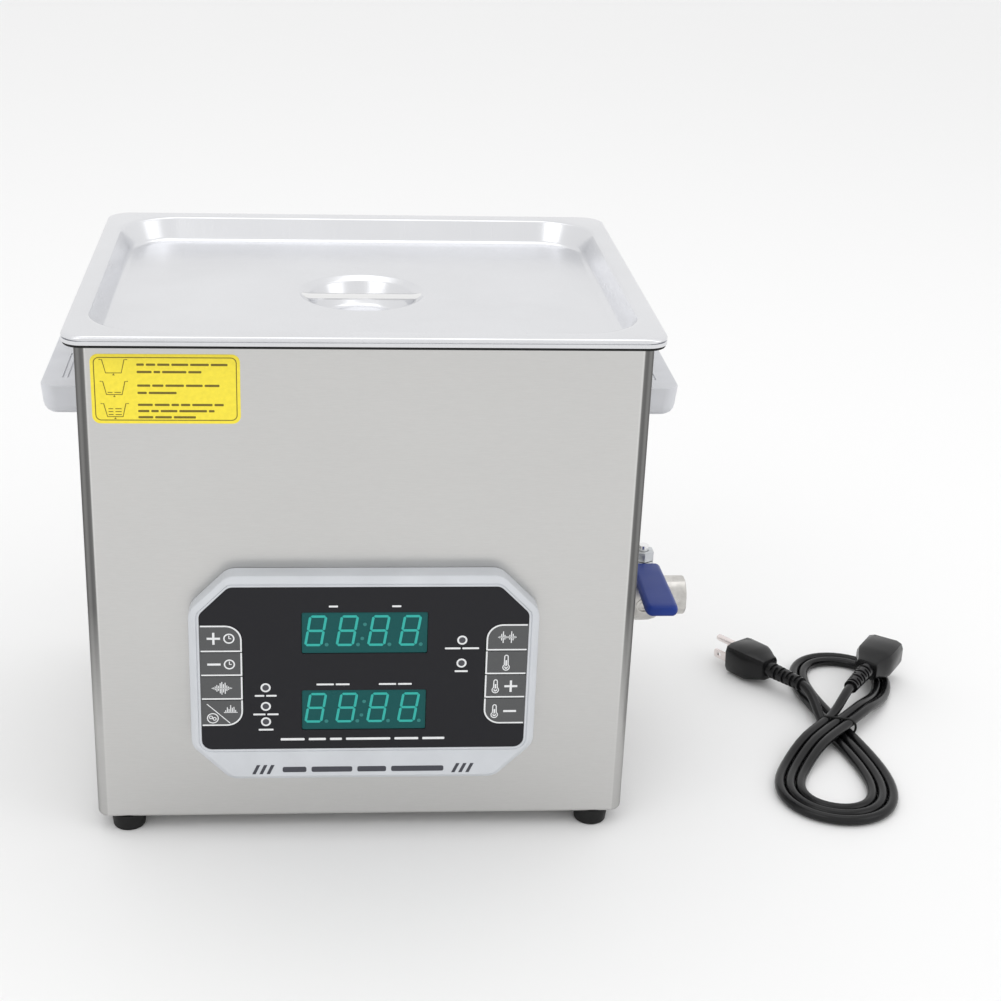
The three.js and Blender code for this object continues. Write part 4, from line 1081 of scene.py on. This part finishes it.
def make_label():
    left, right, low, high = -149.7, -69, 263, 303
    centre_x, centre_z = (left + right) / 2, (low + high) / 2
    width, height = right - left, high - low
    place = shift(centre_x, FRONT, centre_z) @ spin(90, "X")
    foil = Solid().prism(rounded_rect(width, height, 4.5, 8), 0, 0.12, place)
    build("label_foil", foil, "label", "cabinet")
    ink = Solid()
    lower, upper = 0.12, 0.17
    ink.ribbon(rounded_rect(width - 4, height - 4, 3, 6), 0.5, lower, upper, True, place)
    for z, level in ((295.6, 0), (283.2, 1), (270.4, 3)):
        x, y = left + 12.5 - centre_x, z - centre_z
        tank = [(-7.6, 4.2), (-6.0, 4.2), (-4.2, -3.4), (4.2, -3.4), (6.0, 4.2), (7.6, 4.2)]
        ink.ribbon(moved(tank, x, y), 0.5, lower, upper, False, place)
        ink.prism(moved([(-0.7, -4.8), (0.7, -4.8), (0, -3.7)], x, y), lower, upper, place)
        for row in range(level):
            rise = -2.2 + 1.7 * row
            words(ink, x, y + rise, (2.6, 3.4), 0.45, lower, upper, place)
    lines = ((297.0, (4, 5, 6.5, 9, 10, 9)), (292.8, (8, 3.5, 13, 7)), (285.0, (7, 6, 10, 9, 8)),
             (280.8, (5, 15)), (273.9, (8, 8, 4, 5, 11, 5)), (270.3, (6, 4, 9, 15, 3)), (266.7, (8, 9, 12)))
    for z, lengths in lines:
        width_of_line = sum(lengths) + 1.1 * (len(lengths) - 1)
        words(ink, left + 25 - centre_x + width_of_line / 2, z - centre_z, lengths, 1.3, lower, upper, place)
    build("label_print", ink, "label_ink", "cabinet")


# ---- drain valve

def make_valve():
    profile = [(7.5, 2.5), (12.2, 2.5), (12.6, 3), (12.6, 10.5), (12.2, 11.2), (12.6, 12.2), (15.2, 15.5),
               (16.3, 19.5), (16.5, 24.5), (16.3, 29.5), (15.2, 33.5), (12.8, 36.8), (12.4, 37.6),
               (12.6, 38.3), (12.6, 52.4), (12.1, 53), (9.6, 53), (9.2, 52.6), (9.0, 40), (7.5, 38)]
    body = build("valve_casting", Solid().lathe(profile, 72, DRAIN_PLACE, True), "casting", "cabinet",
                 replaces=("valve_body",), smooth=40)
    flat = 23.4 / 2
    flats = []
    for turn in (0, 90):
        for side in (-1, 1):
            outline = rounded_rect(3, 40, 0.2, 2)
            outline = moved(outline, side * (flat + 1.5), 0)
            flats.append(Solid().prism(outline, 41, 56, DRAIN_PLACE @ spin(turn, "Z")))
    carve(body, *flats)
    even_normals(soften(body, 0.3, 2, 40))

    neck = [(0, 12), (8.6, 12), (8.4, 15.8), (7.5, 17.2), (7.5, 21.4), (7.1, 22), (0, 22)]
    stand = shift(STEM_X, DRAIN_Y, DRAIN_Z)
    soften(build("valve_neck", Solid().lathe(neck, 48, stand), "casting", "cabinet"), 0.2, 2)
    marks = Solid()
    for radius in (4.6, 2.4):
        marks.ribbon(circle(radius, 36), 0.7, 0, 0.9, True, stand @ spin(90, "X") @ shift(0, 0, 15.9))
    build("valve_cast_mark", marks, "casting", "cabinet")

    for node, material, edge in (("valve_ball", "bright", 0.3), ("valve_stem", "bright", 0.3),
                                 ("lever_nut", "zinc", 0.5), ("valve_lever", "bright", 0.5),
                                 ("drain_pipe", "bright", 0), ("drain_wall_nut", "zinc", 0.4),
                                 ("drain_washer", "rubber", 0.4)):
        dress(node, material, edge)

    low, high = size("lever_sleeve")
    centre_x, centre_z = (low.x + high.x) / 2, (low.z + high.z) / 2
    length = high.y - low.y
    stations = [(0, 16.4, 5.6), (0.01, 17.8, 6.5), (0.03, 18.4, 6.9), (0.25, 19, 7), (0.5, 19.6, 7),
                (0.75, 20.2, 7), (0.9, 20.4, 7), (0.955, 19.8, 6.8), (0.985, 18, 6.2), (1, 15, 5)]
    rings = []
    for along, width, height in stations:
        outline = rounded_rect(width, height, height * 0.46, 7)
        rings.append([(centre_x + x, high.y - along * length, centre_z + z) for x, z in outline])
    build("lever_grip_sleeve", Solid().loft(rings), "vinyl", "drain_lever",
          replaces=("lever_sleeve",), smooth=60)


# ---- back

def make_back():
    low, high = size("fan_guard")
    level = (low.y + high.y) / 2 - BACK
    centre = REAR_PLACE @ shift(*FAN, level)
    wire = 0.85
    guard = Solid()
    for radius in (14, 25, 36):
        guard.tube([(x, y, 0) for x, y in circle(radius, 64)], wire, 12, True, centre)
    for turn in (45, 135):
        across = 36 + wire
        ends = [(-across, 0, -0.1), (across, 0, -0.1)]
        guard.tube(ends, wire, 12, False, centre @ spin(turn, "Z"))
    build("fan_wire_guard", guard, "bright", "cabinet", replaces=("fan_guard",), smooth=60)

    low, high = size("fan_impeller")
    hub_place = shift(-FAN[0], (low.y + high.y) / 2, FAN[1]) @ spin(-90, "X")
    depth = high.y - low.y
    rotor = Solid().lathe([(0, -depth / 2), (15.4, -depth / 2), (17, -depth / 2 + 1.6), (17, depth / 2 - 1.2),
                           (15.8, depth / 2), (0, depth / 2)], 56, hub_place)
    blades = 7
    for blade in range(blades):
        rings = []
        for i in range(9):
            radius = 16.6 + (37.2 - 16.6) * i / 8
            sweep = math.radians(360 * blade / blades + 12 * (i / 8) ** 1.5)
            pitch = math.radians(38 - 12 * i / 8)
            chord = 13 + 5 * i / 8
            ring = []
            for s, lift in ((-0.5, 0), (-0.25, 0.62), (0, 0.8), (0.25, 0.62), (0.5, 0), (0.25, -0.35),
                            (0, -0.5), (-0.25, -0.35)):
                across, rise = chord * s, lift + 1.2 * (0.25 - s * s) * 4 * 0.5
                x = across * math.cos(pitch) - rise * math.sin(pitch)
                z = across * math.sin(pitch) + rise * math.cos(pitch)
                angle = sweep + x / radius
                ring.append((*polar(radius, angle), z))
            rings.append(ring)
        rotor.loft(rings, hub_place)
    build("fan_rotor_moulding", rotor, "black_plastic", "fan_rotor",
          replaces=("fan_impeller",), smooth=50)

    for node in ("fan_frame", "power_inlet", "rocker_housing"):
        dress(node, "black_plastic", 0.5)
    dress("power_rocker", "red", 0.6)
    marks = Solid()
    tilted = REAR_PLACE @ shift(*ROCKER) @ spin(11, "Y")
    for side in (-1, 1):
        face = tilted @ shift(4.9 * side, 0, 2.55) @ spin(-8.3 * side, "Y")
        if side > 0:
            marks.ribbon([(0, -2), (0, 2)], 0.7, 0, 0.12, False, face)
        else:
            marks.ribbon(circle(1.9, 24), 0.6, 0, 0.12, True, face)
    build("rocker_marks", marks, "white_ink", "rocker")


# ---- parts inside

INSIDE = {"tank": "pressing", "base_plate": "sheet", "control_board": "board", "heater_left": "mat",
          "heater_right": "mat", "temperature_sensor": "bright", "board_tray": "zinc",
          "generator_board": "board", "heatsink": "aluminium", "output_transformer": "ferrite",
          "mains_capacitor": "black_plastic",
          **{f"transducer_{place}": "aluminium" for place in ("front_left", "front_right", "back_left",
                                                              "back_right")}}


# ---- floor, light

def make_light():
    floor = bpy.data.meshes.new("floor")
    reach = 60
    floor.from_pydata([(-reach, -reach, 0), (reach, -reach, 0), (reach, reach, 0), (-reach, reach, 0)], [],
                      [(0, 1, 2, 3)])
    floor.materials.append(finished("floor_white", (0.86, 0.86, 0.86), 0.7, gloss=((5,), 0.65, 0.75)))
    ground = bpy.data.objects.new("floor", floor)
    bpy.context.scene.collection.objects.link(ground)

    world = bpy.data.worlds.new("studio")
    world.use_nodes = True
    backdrop = world.node_tree.nodes["Background"]
    backdrop.inputs["Color"].default_value = (1, 1, 1, 1)
    backdrop.inputs["Strength"].default_value = 1.0
    bpy.context.scene.world = world

    for name, place, target, width, height, power in (
            ("key_light", (-1.2, -1.4, 2.0), (0, 0, 0.2), 1.4, 1.0, 5),
            ("fill_light", (1.6, -0.8, 1.3), (0, 0, 0.2), 1.2, 1.2, 3),
            ("top_light", (0.1, 0.3, 2.2), (0, 0, 0.2), 1.8, 1.4, 6)):
        data = bpy.data.lights.new(name, "AREA")
        data.shape = "RECTANGLE"
        data.size, data.size_y = width, height
        data.energy = power
        lamp = bpy.data.objects.new(name, data)
        lamp.location = place
        lamp.rotation_euler = (Vector(target) - Vector(place)).to_track_quat("-Z", "Y").to_euler()
        bpy.context.scene.collection.objects.link(lamp)
    bpy.context.scene.view_settings.view_transform = "Standard"


make_camera()
make_lead()
make_cabinet()
make_lid()
make_strap()
make_seal()
make_grips()
make_bezel()
make_overlay()
make_keys()
make_displays()
make_label()
make_valve()
make_back()
for inner_node, inner_material in INSIDE.items():
    dress(inner_node, inner_material)
make_light()

bpy.context.view_layer.update()
